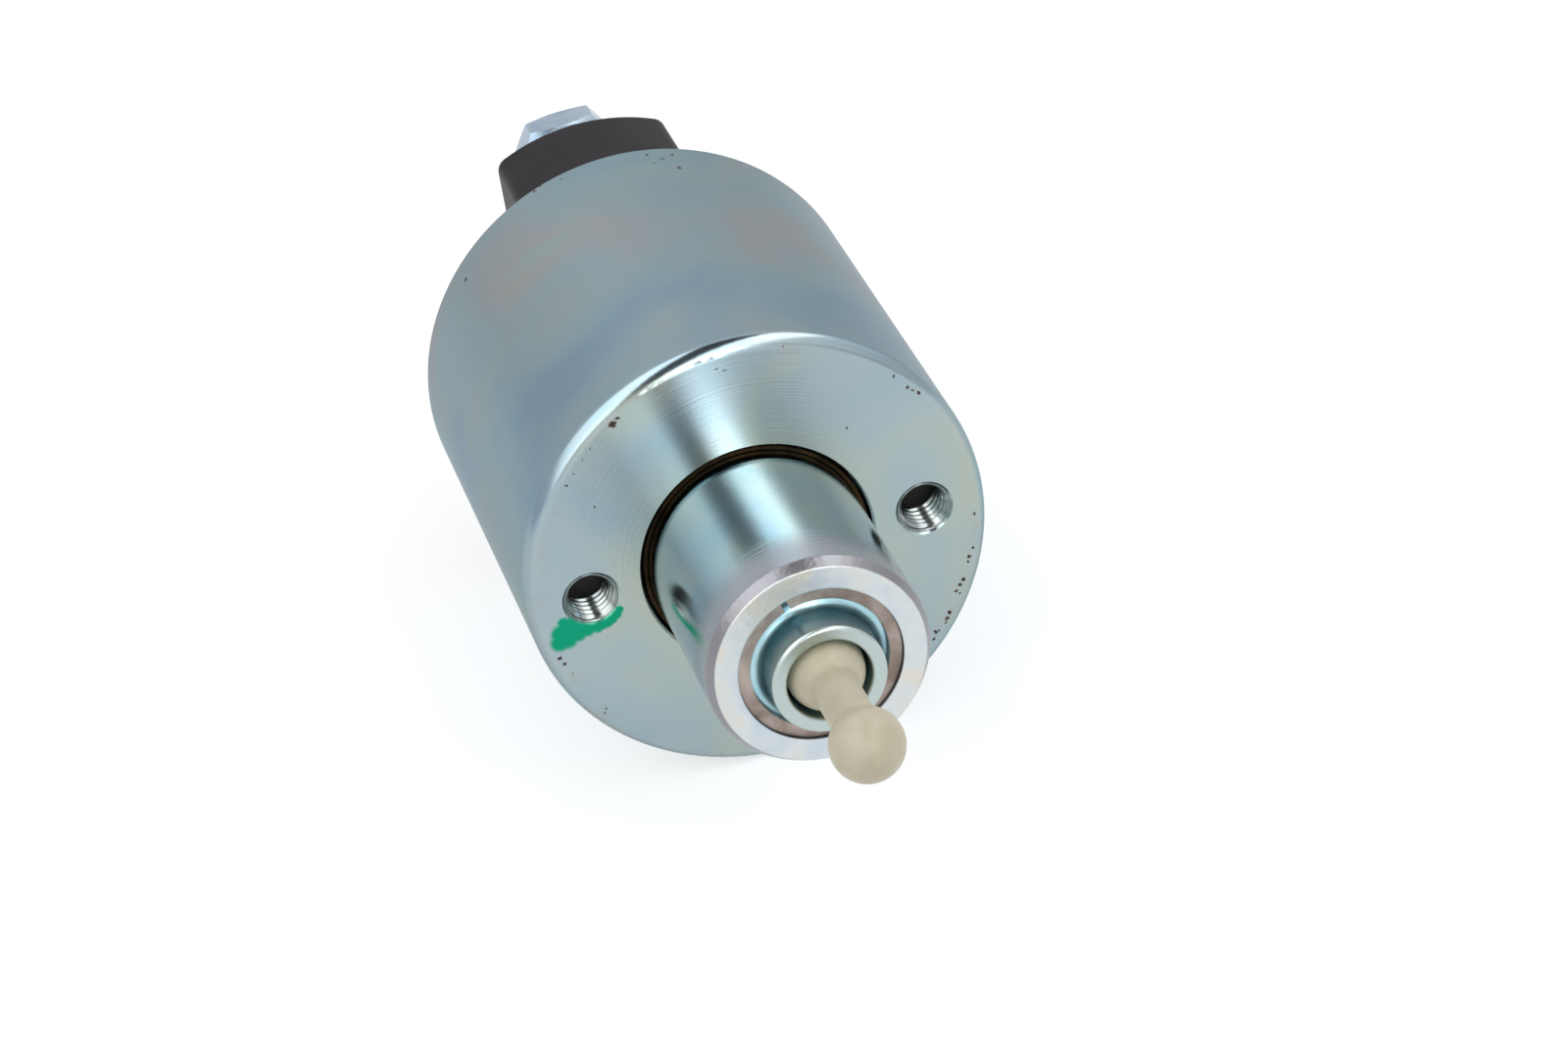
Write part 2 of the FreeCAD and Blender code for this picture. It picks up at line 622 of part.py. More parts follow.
def block_profile(sketch, inset):
    """Bar with straight sides and curved ends about the axis, as the terminal block has."""
    radius = value("block_radius")
    half = value("block_left")
    slope = math.asin(half / radius)
    circle = Part.Circle(FreeCAD.Vector(0, 0, 0), FreeCAD.Vector(0, 0, 1), radius)
    corner = {
        (across, up): FreeCAD.Vector(across * half, up * radius * math.cos(slope), 0)
        for across in (1, -1) for up in (1, -1)
    }
    sketch.addGeometry(Part.ArcOfCircle(circle, math.pi / 2 - slope, math.pi / 2 + slope), False)
    sketch.addGeometry(Part.LineSegment(corner[-1, 1], corner[-1, -1]), False)
    sketch.addGeometry(Part.ArcOfCircle(circle, 1.5 * math.pi - slope, 1.5 * math.pi + slope), False)
    sketch.addGeometry(Part.LineSegment(corner[1, -1], corner[1, 1]), False)
    for edge in range(4):
        sketch.addConstraint(Sketcher.Constraint("Coincident", edge, 2, (edge + 1) % 4, 1))
    for edge in (0, 2):
        sketch.addConstraint(Sketcher.Constraint("Coincident", edge, 3, -1, 1))
        number = sketch.addConstraint(Sketcher.Constraint("Radius", edge, radius))
        sketch.setExpression(f"Constraints[{number}]", bound(f"block_radius - ({inset})"))
    for edge, side in ((1, f"-(block_left - ({inset}))"), (3, f"block_right - ({inset})")):
        sketch.addConstraint(Sketcher.Constraint("Vertical", edge))
        number = sketch.addConstraint(Sketcher.Constraint("DistanceX", edge, 1, half))
        sketch.setExpression(f"Constraints[{number}]", bound(side))


def rectangle(sketch, left, right, low, high):
    outline(sketch, [(left, low), (right, low), (right, high), (left, high)])


def make_rear_cap():
    """Moulded cap: round flange under the lip, terminal block, contact chamber, blade pedestal."""
    body = turned("rear_cap", [
        ("0", "seal_rear"),
        ("housing_inner - fit_gap", "seal_rear"),
        ("housing_inner - fit_gap", "flange_rear - lip_reach"),
        ("housing_inner - fit_gap - lip_reach", "flange_rear"),
        ("0", "flange_rear"),
    ])
    block = new_sketch(body, "block_shape", "XZ_Plane", "-flange_rear")
    block_profile(block, "0")
    extrude(body, "Pad", "terminal_block", block, "cap_rear - flange_rear")
    floor, roof = value("flange_rear"), value("cap_rear")

    def block_corner(edge):
        ends = sorted(vertex.Point.y for vertex in edge.Vertexes)
        return len(ends) == 2 and abs(ends[0] - floor) < 0.01 and abs(ends[1] - roof) < 0.01

    def block_top(edge):
        return all(abs(vertex.Point.y - roof) < 0.01 for vertex in edge.Vertexes)

    dress(body, "Fillet", block_corner, "block_corner")
    dress(body, "Fillet", block_top, "block_edge")
    pedestal = new_sketch(body, "pedestal_shape", "XZ_Plane", "-flange_rear")
    rectangle(pedestal, "blade_place - blade_thickness / 2 - pedestal_margin",
              "blade_place + blade_thickness / 2 + pedestal_margin",
              "-blade_width / 2 - pedestal_margin", "blade_width / 2 + pedestal_margin")
    extrude(body, "Pad", "pedestal", pedestal, "housing_length + pedestal_rise - flange_rear")
    drill(body, "round_chamber", "cap_chamber_radius", [("0", "0")], "seal_rear", "cap_chamber_depth")
    chamber = new_sketch(body, "chamber_shape", "XZ_Plane", "-seal_rear")
    block_profile(chamber, "block_wall")
    extrude(body, "Pocket", "long_chamber", chamber, "cap_floor - seal_rear")
    drill(body, "spring_pocket", "opening_pocket_radius", [("0", "0")], "cap_floor", "opening_pocket_depth")
    drill(body, "stud_holes", "stud_radius + stud_play", [
        ("-stud_shift", "stud_height"),
        ("-stud_shift", "-stud_height"),
    ], "cap_floor", "end_wall")
    slot = new_sketch(body, "blade_slot_shape", "XZ_Plane", "-seal_rear")
    rectangle(slot, "blade_place - blade_thickness / 2", "blade_place + blade_thickness / 2",
              "-blade_width / 2", "blade_width / 2")
    extrude(body, "Pocket", "blade_slot", slot, "blade_end - seal_rear")
    return body


def make_terminal(name, side):
    """Copper bolt: square contact head in the chamber and a threaded stud behind the cap."""
    body = new_body(name)
    head = new_sketch(body, name + "_head_shape", "XZ_Plane", "-head_front")
    centre = f"{side} * stud_height"
    rectangle(head, "-stud_shift - head_side / 2", "-stud_shift + head_side / 2",
              f"{centre} - head_side / 2", f"{centre} + head_side / 2")
    extrude(body, "Pad", name + "_head", head, "head_thickness")
    front = value("head_front")

    def face_edge(edge):
        return all(abs(vertex.Point.y - front) < 0.01 for vertex in edge.Vertexes)

    dress(body, "Chamfer", face_edge, "head_bevel")
    stretches = [
        ("shank", "stud_radius", "head_rear", "lock_rear"),
        ("engaged", "engaged_radius", "lock_rear", "nut_rear"),
        ("stud", "stud_radius", "nut_rear", "stud_end"),
    ]
    for part, radius, start, end in stretches:
        round_shape = new_sketch(body, f"{name}_{part}_shape", "XZ_Plane", f"-{start}")
        circles(round_shape, radius, [("-stud_shift", centre)])
        extrude(body, "Pad", f"{name}_{part}", round_shape, f"{end} - {start}")
    dress(body, "Chamfer", circle_edge(value("stud_radius"), value("stud_end")), "stud_bevel")
    return body


def primitive(kind, name, station, side, **expressions):
    """A primitive stood on a station, on the axis of the upper (1) or the lower (-1) stud."""
    shape = doc.addObject("Part::" + kind, name)
    shape.Placement = FreeCAD.Placement(FreeCAD.Vector(0, 0, 0), ALONG_Y)
    shape.setExpression("Placement.Base.x", bound("-stud_shift"))
    shape.setExpression("Placement.Base.y", bound(station))
    shape.setExpression("Placement.Base.z", bound(f"{side} * stud_height"))
    for key, text in expressions.items():
        shape.setExpression(key, bound(text))
    return shape


def cut(name, base, tool):
    result = doc.addObject("Part::Cut", name)
    result.Base = base
    result.Tool = tool
    return result


def stud_washer(name, side, station, radius, thickness):
    """Flat ring round a stud."""
    blank = primitive("Cylinder", name + "_outside", station, side,
                      Radius=radius, Height=thickness)
    hole = primitive("Cylinder", name + "_hole", station, side,
                     Radius="stud_radius + stud_play", Height=thickness)
    return cut(name, blank, hole)


def lock_washer(name, side):
    """Spring washer: a ring with a slanted gap."""
    blank = stud_washer(name + "_blank", side, "washer_rear", "lock_radius", "lock_thickness")
    gap = primitive("Box", name + "_gap", "washer_rear - lock_thickness / 2", side,
                    Length="lock_radius + 1", Width="lock_split", Height="2 * lock_thickness")
    lean = FreeCAD.Rotation(FreeCAD.Vector(1, 0, 0), -90 + value("lock_lean"))
    gap.Placement = FreeCAD.Placement(gap.Placement.Base, lean)
    return cut(name, blank, gap)


def hexagon_nut(name, side):
    """Hexagon with both faces bevelled to a cone, bored to the thread's pitch diameter."""
    prism = primitive("Prism", name + "_hexagon", "lock_rear", side,
                      Circumradius="nut_flats / sqrt(3)", Height="nut_height")
    prism.Polygon = 6
    turn = FreeCAD.Rotation(FreeCAD.Vector(0, 0, 1), -value("nut_turn"))
    prism.Placement = FreeCAD.Placement(prism.Placement.Base, ALONG_Y.multiply(turn))
    narrow = "nut_face_radius"
    wide = "nut_face_radius + nut_height * sqrt(3)"
    rear_cone = primitive("Cone", name + "_rear_cone", "lock_rear", side,
                          Radius1=wide, Radius2=narrow, Height="nut_height")
    front_cone = primitive("Cone", name + "_front_cone", "lock_rear", side,
                           Radius1=narrow, Radius2=wide, Height="nut_height")
    bevelled = doc.addObject("Part::MultiCommon", name + "_bevelled")
    bevelled.Shapes = [prism, rear_cone, front_cone]
    thread = primitive("Cylinder", name + "_bore", "lock_rear", side,
                       Radius="engaged_radius + fit_gap", Height="nut_height")
    return cut(name, bevelled, thread)


def pair(name, make):
    """One node that holds a fastener at each stud."""
    group = doc.addObject("Part::Compound", name)
    group.Links = [make(name + "_upper", 1), make(name + "_lower", -1)]
    group.Label = name
    return group


def seal_washer(name, side):
    return stud_washer(name, side, "head_rear", "seal_radius", "seal_thickness")


def flat_washer(name, side):
    return stud_washer(name, side, "cap_rear", "washer_radius", "washer_thickness")


def make_stud_hardware():
    return [
        pair("terminal_seals", seal_washer),
        pair("terminal_washers", flat_washer),
        pair("terminal_lock_washers", lock_washer),
        pair("terminal_nuts", hexagon_nut),
    ]


def make_contact_rod():
    body = turned("contact_rod", [
        ("0", "contact_rod_tip"),
        ("contact_rod_radius", "contact_rod_tip"),
        ("contact_rod_radius", "stop_front"),
        ("stop_radius", "stop_front"),
        ("stop_radius", "stop_rear"),
        ("contact_rod_radius", "stop_rear"),
        ("contact_rod_radius", "clip_front - fit_gap / 2"),
        ("clip_groove", "clip_front - fit_gap / 2"),
        ("clip_groove", "clip_rear + fit_gap / 2"),
        ("contact_rod_radius", "clip_rear + fit_gap / 2"),
        ("contact_rod_radius", "contact_rod_end"),
        ("0", "contact_rod_end"),
    ])
    return body


def make_contact_clip():
    body = ring("contact_clip", "clip_groove + fit_gap", "clip_radius", "clip_front", "clip_rear")
    doc.recompute()
    mouth = new_sketch(body, "clip_mouth_shape", "XZ_Plane", "-clip_front")
    rectangle(mouth, "-clip_mouth / 2", "clip_mouth / 2", "-clip_radius - 1", "0")
    extrude(body, "Pocket", "clip_mouth_cut", mouth, "clip_thickness")
    return body


def make_contact_bridge():
    body = new_body("contact_bridge")
    shape = new_sketch(body, "bridge_shape", "XZ_Plane", "-bridge_front")
    rectangle(shape, "-bridge_width / 2", "bridge_width / 2", "-bridge_reach", "bridge_reach")
    extrude(body, "Pad", "bridge_pad", shape, "bridge_thickness")

    def upright_edge(edge):
        return abs(edge.tangentAt(edge.FirstParameter).y) > 0.99

    dress(body, "Fillet", upright_edge, "bridge_corner")
    drill(body, "bridge_hole", "bush_radius + fit_gap", [("0", "0")], "bridge_front", "bridge_thickness")
    return body


def make_contact_bush():
    """Flanged insulating bush that the bridge sits on."""
    return turned("contact_bush", [
        ("contact_rod_radius + running_gap", "bush_front"),
        ("bush_flange_radius", "bush_front"),
        ("bush_flange_radius", "bridge_front"),
        ("bush_radius", "bridge_front"),
        ("bush_radius", "bridge_rear"),
        ("contact_rod_radius + running_gap", "bridge_rear"),
    ])


def make_blade_terminal():
    """Stamped blade with bevelled corners and a latch hole, moulded into the cap."""
    body = new_body("blade_terminal")
    shape = new_sketch(body, "blade_shape", "YZ_Plane", "blade_place - blade_thickness / 2")
    outline(shape, [
        ("blade_front", "-blade_width / 2"),
        ("blade_end - blade_tip", "-blade_width / 2"),
        ("blade_end", "-blade_width / 2 + blade_tip"),
        ("blade_end", "blade_width / 2 - blade_tip"),
        ("blade_end - blade_tip", "blade_width / 2"),
        ("blade_front", "blade_width / 2"),
    ])
    pad = body.newObject("PartDesign::Pad", "blade_pad")
    pad.Profile = shape
    pad.setExpression("Length", bound("blade_thickness"))
    doc.recompute()
    eye = new_sketch(body, "blade_eye_shape", "YZ_Plane", "blade_place + blade_thickness / 2")
    circles(eye, "blade_eye_radius", [("blade_end - blade_eye_inset", "0")])
    pocket = body.newObject("PartDesign::Pocket", "blade_eye")
    pocket.Profile = eye
    pocket.setExpression("Length", bound("blade_thickness"))
    doc.recompute()
    return body


def lead(name, points, wire_radius):
    """Round wire along straight runs joined by tangent bends, each as tight as the wire allows."""
    bend = 2 * wire_radius
    edges = []
    start = points[0]
    for before, corner, after in zip(points, points[1:], points[2:]):
        inwards = (before - corner).normalize()
        outwards = (after - corner).normalize()
        half = (math.pi - inwards.getAngle(outwards)) / 2
        reach = bend * math.tan(half)
        first = corner + inwards * reach
        last = corner + outwards * reach
        centre = corner + (inwards + outwards).normalize() * (bend / math.cos(half))
        middle = centre + (corner - centre).normalize() * bend
        edges.append(Part.LineSegment(start, first).toShape())
        edges.append(Part.Arc(first, middle, last).toShape())
        start = last
    edges.append(Part.LineSegment(start, points[-1]).toShape())
    section = Part.Wire([Part.makeCircle(wire_radius, points[0], points[1] - points[0])])
    wire = doc.addObject("Part::Feature", name)
    wire.Shape = Part.Wire(edges).makePipeShell([section], True, True)
    wire.Label = name
    return wire


def make_leads():
    """Both windings to the blade, the pull-in winding to the motor bolt, the hold-in to earth."""
    thick = value("pull_in_lead_radius")
    thin = value("hold_in_lead_radius")
    wound = value("winding_rear")
    blade = value("blade_front") + value("blade_tail") / 2
    start_x = value("start_lead_x")
    above = thick + thin
    rearwards = FreeCAD.Vector(0, 1, 0)
    start_leads = doc.addObject("Part::Feature", "start_leads")
    start_leads.Shape = Part.makeCompound([
        Part.makeCylinder(thick, blade - wound, FreeCAD.Vector(start_x, wound, 0), rearwards),
        Part.makeCylinder(thin, blade - wound, FreeCAD.Vector(start_x, wound, above), rearwards),
    ])
    start_leads.Label = "start_leads"
    motor_x = value("motor_lead_x")
    motor_z = -value("stud_height")
    head = (value("head_front") + value("head_rear")) / 2
    motor_lead = lead("motor_lead", [
        FreeCAD.Vector(motor_x, wound, motor_z),
        FreeCAD.Vector(motor_x, head, motor_z),
        FreeCAD.Vector(value("head_edge_x"), head, motor_z),
    ], thick)
    earth_x = -value("earth_lead_place")
    foot = value("plate_rear") + thin
    earth_lead = lead("earth_lead", [
        FreeCAD.Vector(earth_x, wound, 0),
        FreeCAD.Vector(earth_x, foot, 0),
        FreeCAD.Vector(earth_x, foot, value("earth_lead_foot")),
    ], thin)
    return [start_leads, motor_lead, earth_lead]


def make_all():
    nodes = [
        make_housing(),
        ring("guide_sleeve", "sleeve_inner", "sleeve_outer", "sleeve_recess", "plate_front"),
        make_bobbin(),
        make_fixed_core(),
        make_core_plate(),
        ring("cap_seal", "cap_seal_inner", "cap_seal_outer", "plate_rear", "seal_rear"),
        make_rear_cap(),
        make_terminal("battery_terminal", 1),
        make_terminal("motor_terminal", -1),
        make_blade_terminal(),
        make_plunger(),
        make_plunger_ring(),
        make_collar(),
        make_link_rod(),
        ring("rod_washer", "rod_washer_bore", "rod_washer_radius", "rod_washer_front", "rod_head_front"),
        make_contact_rod(),
        make_contact_clip(),
        make_contact_bridge(),
        make_contact_bush(),
        ring("contact_washer", "contact_rod_radius + running_gap", "bush_flange_radius",
             "bridge_rear", "bush_rear"),
        coil_spring("engagement_spring", "engage"),
        coil_spring("plunger_spring", "return"),
        coil_spring("contact_spring", "contact"),
        coil_spring("opening_spring", "opening"),
    ]
    nodes.extend(make_windings())
    nodes.extend(make_stud_hardware())
    nodes.extend(make_leads())
    doc.recompute()
    return nodes


def check(nodes):
    """Stop on any failed object and on any sub-part whose shape isn't a valid solid."""
    for item in doc.Objects:
        if "Invalid" in item.State or "Error" in item.State:
            raise RuntimeError(f"{item.Name} failed: {item.State}")
    for node in nodes:
        shape = node.Shape
        if shape.isNull() or not shape.isValid() or not shape.Solids:
            raise RuntimeError(f"{node.Label} has no valid solid")


def write(nodes):
    os.makedirs("parts", exist_ok=True)
    for node in nodes:
        node.Shape.exportStep(f"parts/{node.Label}.step")


all_nodes = make_all()
check(all_nodes)
write(all_nodes)
for node in all_nodes:
    print(f"{node.Label}: {len(node.Shape.Solids)} solid, {node.Shape.Volume:.1f} mm3")
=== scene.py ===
"""Looks of the starter solenoid: zinc-plated steel, brass sleeve, nylon link rod, black cap."""
import math

import bmesh
import bpy
from mathutils import Matrix, Vector


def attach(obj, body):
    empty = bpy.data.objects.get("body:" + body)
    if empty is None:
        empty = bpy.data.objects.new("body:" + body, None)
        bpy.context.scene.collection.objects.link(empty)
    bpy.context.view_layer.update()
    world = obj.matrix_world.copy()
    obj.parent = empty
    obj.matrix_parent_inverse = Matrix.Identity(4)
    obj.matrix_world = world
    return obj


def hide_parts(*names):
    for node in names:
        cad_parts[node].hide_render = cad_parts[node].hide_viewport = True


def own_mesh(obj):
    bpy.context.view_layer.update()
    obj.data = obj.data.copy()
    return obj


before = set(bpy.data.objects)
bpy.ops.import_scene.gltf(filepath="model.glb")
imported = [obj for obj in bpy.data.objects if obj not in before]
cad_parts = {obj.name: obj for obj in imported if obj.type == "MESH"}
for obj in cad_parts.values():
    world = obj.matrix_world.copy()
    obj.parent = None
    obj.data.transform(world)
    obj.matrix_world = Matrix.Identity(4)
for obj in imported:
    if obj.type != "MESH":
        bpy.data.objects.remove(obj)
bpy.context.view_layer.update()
scene = bpy.context.scene
scene.view_settings.view_transform = "Standard"

MM = 0.001

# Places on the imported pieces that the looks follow, in millimetres.
HOLE_SPACING = 40.0
FRONT_WALL = 5.0
PLUNGER_FRONT = -26.3
NUT_REAR = 80.4
STUD_END = 87.4
STUD_HEIGHT = 15.1
STUD_SHIFT = -1.0


def linear(code):
    """An sRGB hex colour as linear red, green and blue, with full alpha."""
    shades = [int(code[place:place + 2], 16) / 255 for place in (1, 3, 5)]
    parts = [s / 12.92 if s <= 0.04045 else ((s + 0.055) / 1.055) ** 2.4 for s in shades]
    return (*parts, 1.0)


def add(tree, kind, settings=None, links=None):
    """Add a node. Settings are its own values; links give its inputs a value or a socket."""
    node = tree.nodes.new(kind)
    for name, setting in (settings or {}).items():
        if name == "stops":
            ramp = node.color_ramp
            while len(ramp.elements) < len(setting):
                ramp.elements.new(1.0)
            for element, (place, colour) in zip(ramp.elements, setting):
                element.position = place
                element.color = colour
        else:
            setattr(node, name, setting)
    for name, given in (links or {}).items():
        if isinstance(given, bpy.types.NodeSocket):
            tree.links.new(given, node.inputs[name])
        else:
            node.inputs[name].default_value = given
    return node


def new_material(name):
    """An empty material, with the object's own coordinates in millimetres."""
    material = bpy.data.materials.new(name)
    material.use_nodes = True
    tree = material.node_tree
    tree.nodes.clear()
    place = add(tree, "ShaderNodeTexCoord")
    scaled = add(tree, "ShaderNodeVectorMath", {"operation": "SCALE"},
                 {0: place.outputs["Object"], "Scale": 1 / MM})
    return material, tree, scaled.outputs[0]


def finish_material(tree, shader):
    """Give the material's surface its shader."""
    add(tree, "ShaderNodeOutputMaterial", links={"Surface": shader.outputs[0]})


def axis_distance(tree, where):
    """Distance from the solenoid's axis, and the place along it."""
    split = add(tree, "ShaderNodeSeparateXYZ", links={0: where})
    flat = add(tree, "ShaderNodeCombineXYZ", links={0: split.outputs[0], 2: split.outputs[2]})
    length = add(tree, "ShaderNodeVectorMath", {"operation": "LENGTH"}, {0: flat.outputs[0]})
    return length.outputs["Value"], split.outputs[1]


def spots(tree, where, ragged, places):
    """One mask of round spots, each given as (x, y, z, radius) in millimetres.

    Ragged is how far, in millimetres, their outlines wander. A spot is full up to 0.55 of its
    radius and then fades.
    """
    wobble = add(tree, "ShaderNodeTexNoise", links={"Vector": where, "Scale": 2.4, "Detail": 3.0})
    centred = add(tree, "ShaderNodeVectorMath", {"operation": "SUBTRACT"},
                  {0: wobble.outputs["Color"], 1: (0.5, 0.5, 0.5)})
    shift = add(tree, "ShaderNodeVectorMath", {"operation": "SCALE"},
                {0: centred.outputs[0], "Scale": ragged})
    moved = add(tree, "ShaderNodeVectorMath", {"operation": "ADD"},
                {0: where, 1: shift.outputs[0]})
    total = None
    for x, y, z, radius in places:
        reach = add(tree, "ShaderNodeVectorMath", {"operation": "DISTANCE"},
                    {0: moved.outputs[0], 1: (x, y, z)})
        spot = add(tree, "ShaderNodeMapRange", {"interpolation_type": "SMOOTHSTEP"},
                   {"Value": reach.outputs["Value"], "From Min": radius, "From Max": 0.55 * radius})
        if total is None:
            total = spot
        else:
            total = add(tree, "ShaderNodeMath", {"operation": "MAXIMUM"},
                        {0: total.outputs[0], 1: spot.outputs[0]})
    return total.outputs[0]


# Rust, as (x, y, z, radius) in millimetres: round the face's edge, on the face and at the rear.
RUST_SPOTS = [
    (-13.84, 0, 21.32, 0.55), (-13.2, 0, 21.9, 0.3), (18.85, 0, 17.9, 0.22),
    (20.2, 0, 16.1, 0.25), (21.4, 0, 15.0, 0.25), (20.8, 0, 15.5, 0.18),
    (25.74, 0, -2.46, 0.22), (24.4, 0, -7.9, 0.3), (22.2, 0, -12.0, 0.24),
    (20.4, 0, -15.8, 0.26), (-24.9, 0, -6.5, 0.28), (-24.5, 0, -7.4, 0.32),
    (12.5, 0, 13.0, 0.16), (-17.6, 0, 11.6, 0.14), (19.1, 0, -16.7, 0.3),
    (25.0, 0, -6.9, 0.2), (24.2, 0, -8.5, 0.22), (23.3, 0, -10.7, 0.3),
    (22.8, 0, -11.3, 0.34), (22.6, 0, -12.4, 0.2), (21.1, 0, -14.6, 0.3),
    (20.7, 0, -15.3, 0.34), (19.5, 0, -16.6, 0.2), (18.7, 0, -17.6, 0.28),
    (-18.0, 0, 17.9, 0.2), (-19.3, 0, 16.5, 0.15), (-20.4, 0, 15.2, 0.22),
    (-16.9, 0, 19.0, 0.13), (-1.2, 0, 24.7, 0.2), (-0.3, 0, 24.3, 0.16),
    (-9.84, 52.9, 25.7, 0.3), (-9.0, 53.2, 26.0, 0.26), (-6.5, 52.1, 26.7, 0.24),
    (4.3, 51.8, 27.2, 0.3), (5.8, 50.3, 26.9, 0.3), (4.7, 49.3, 27.1, 0.22),
    (7.3, 51.4, 26.5, 0.34), (7.2, 47.5, 26.5, 0.4), (-20.6, 49.5, 18.2, 0.45),
]
# Inspection mark: a dab of green lacquer round the lower side of the left fixing hole.
LACQUER_DABS = [
    (-24.5, 0, -4.5, 1.45), (-24.2, 0, -3.4, 1.5), (-23.6, 0, -4.3, 1.6),
    (-23.0, 0, -3.5, 1.6), (-22.3, 0, -3.9, 1.4), (-21.8, 0, -3.3, 1.3),
    (-21.1, 0, -3.7, 1.2), (-20.5, 0, -3.5, 1.1), (-19.9, 0, -3.7, 1.05),
    (-19.3, 0, -3.6, 0.95), (-18.7, 0, -3.5, 0.9), (-18.1, 0, -3.25, 0.85),
    (-17.5, 0, -2.8, 0.8), (-17.1, 0, -2.3, 0.65), (-23.7, 0, -2.1, 0.9),
    (-22.8, 0, -2.5, 1.2), (-21.8, 0, -2.9, 1.0),
]


def side_film(tree, where, patches):
    """Colour of the film on the drawn side: blue to grey, turning teal and straw low down."""
    film = add(tree, "ShaderNodeValToRGB", {"stops": [
        (0.32, linear("#8299aa")), (0.43, linear("#8b9fab")), (0.52, linear("#92a3a9")),
        (0.6, linear("#98a1a5")), (0.68, linear("#9e9ea1")), (0.78, linear("#93a6a7")),
    ]}, {"Fac": patches})
    colour = film.outputs["Color"]
    height = add(tree, "ShaderNodeSeparateXYZ", links={0: where})
    low_down = add(tree, "ShaderNodeMapRange",
                   links={"Value": height.outputs[2], "From Min": 14.0, "From Max": -10.0,
                          "To Min": 0.12, "To Max": 0.5})
    # Teal, and over it straw, where the film is thickest.
    for scale, start, full, tint in ((0.06, 0.52, 0.72, "#82b2b6"), (0.09, 0.53, 0.8, "#a3aa84")):
        field = add(tree, "ShaderNodeTexNoise",
                    links={"Vector": where, "Scale": scale, "Detail": 2.0, "Distortion": 0.8})
        amount = add(tree, "ShaderNodeMapRange",
                     links={"Value": field.outputs["Fac"], "From Min": start, "From Max": full})
        share = add(tree, "ShaderNodeMath", {"operation": "MULTIPLY"},
                    {0: amount.outputs[0], 1: low_down.outputs[0]})
        tinted = add(tree, "ShaderNodeMix", {"data_type": "RGBA"},
                     {0: share.outputs[0], 6: colour, 7: linear(tint)})
        colour = tinted.outputs[2]
    return colour


def face_film(tree, where, radius):
    """Colour of the film on the turned face, greyer towards the plunger's opening."""
    patches = add(tree, "ShaderNodeTexNoise",
                  links={"Vector": where, "Scale": 0.06, "Detail": 2.0, "Distortion": 0.6})
    film = add(tree, "ShaderNodeValToRGB", {"stops": [
        (0.32, linear("#96aab3")), (0.5, linear("#9eaeb3")), (0.68, linear("#a7b1aa")),
    ]}, {"Fac": patches.outputs["Fac"]})
    near_bore = add(tree, "ShaderNodeMapRange",
                    links={"Value": radius, "From Min": 18.5, "From Max": 14.5, "To Max": 0.5})
    colour = add(tree, "ShaderNodeMix", {"data_type": "RGBA"},
                 {0: near_bore.outputs[0], 6: film.outputs["Color"], 7: linear("#adb5a8")})
    return colour.outputs[2]


def housing_marks(tree, where, radius, face):
    """Height of the machining marks: turned rings on the face, drawing lines along the side."""
    # Turning marks about 0.15 mm apart, drawn at 0.3 mm and twice as deep so that they show.
    ring_place = add(tree, "ShaderNodeMath", {"operation": "MULTIPLY"}, {0: radius, 1: 3.3})
    turning = add(tree, "ShaderNodeTexNoise", {"noise_dimensions": "1D"},
                  {"W": ring_place.outputs[0], "Scale": 1.0, "Detail": 3.0})
    turned = add(tree, "ShaderNodeMath", {"operation": "MULTIPLY"},
                 {0: turning.outputs["Fac"], 1: 2.0})
    # Drawing marks along the side, a few tenths of a millimetre wide.
    drawn = add(tree, "ShaderNodeMapping", links={"Vector": where, "Scale": (1.6, 0.05, 1.6)})
    drawing = add(tree, "ShaderNodeTexNoise",
                  links={"Vector": drawn.outputs[0], "Scale": 1.0, "Detail": 3.0})
    marks = add(tree, "ShaderNodeMix", {"data_type": "FLOAT"},
                {0: face, 2: drawing.outputs["Fac"], 3: turned.outputs[0]})
    return marks.outputs[0]


def housing_stains(tree, where, radius, face):
    """Masks of the rust and of the faint tarnish that comes and goes inside the rim."""
    fleck_field = add(tree, "ShaderNodeTexVoronoi", {"feature": "F1"},
                      {"Vector": where, "Scale": 0.9, "Randomness": 1.0})
    flecks = add(tree, "ShaderNodeMapRange",
                 links={"Value": fleck_field.outputs["Distance"], "From Min": 0.14,
                        "From Max": 0.08})
    stretch_field = add(tree, "ShaderNodeTexNoise",
                        links={"Vector": where, "Scale": 0.35, "Detail": 2.0})
    stretches = add(tree, "ShaderNodeMapRange",
                    links={"Value": stretch_field.outputs["Fac"], "From Min": 0.56,
                           "From Max": 0.64})
    near_rim = add(tree, "ShaderNodeMapRange",
                   links={"Value": radius, "From Min": 24.6, "From Max": 25.6})
    rim_of_face = add(tree, "ShaderNodeMath", {"operation": "MULTIPLY"},
                      {0: near_rim.outputs[0], 1: face})
    stained_rim = add(tree, "ShaderNodeMath", {"operation": "MULTIPLY"},
                      {0: rim_of_face.outputs[0], 1: stretches.outputs[0]})
    rim_flecks = add(tree, "ShaderNodeMath", {"operation": "MULTIPLY"},
                     {0: stained_rim.outputs[0], 1: flecks.outputs[0]})
    rust = add(tree, "ShaderNodeMath", {"operation": "MAXIMUM"},
               {0: spots(tree, where, 0.7, RUST_SPOTS), 1: rim_flecks.outputs[0]})
    tarnish = add(tree, "ShaderNodeMath", {"operation": "MULTIPLY"},
                  {0: stained_rim.outputs[0], 1: 0.2})
    return rust.outputs[0], tarnish.outputs[0]


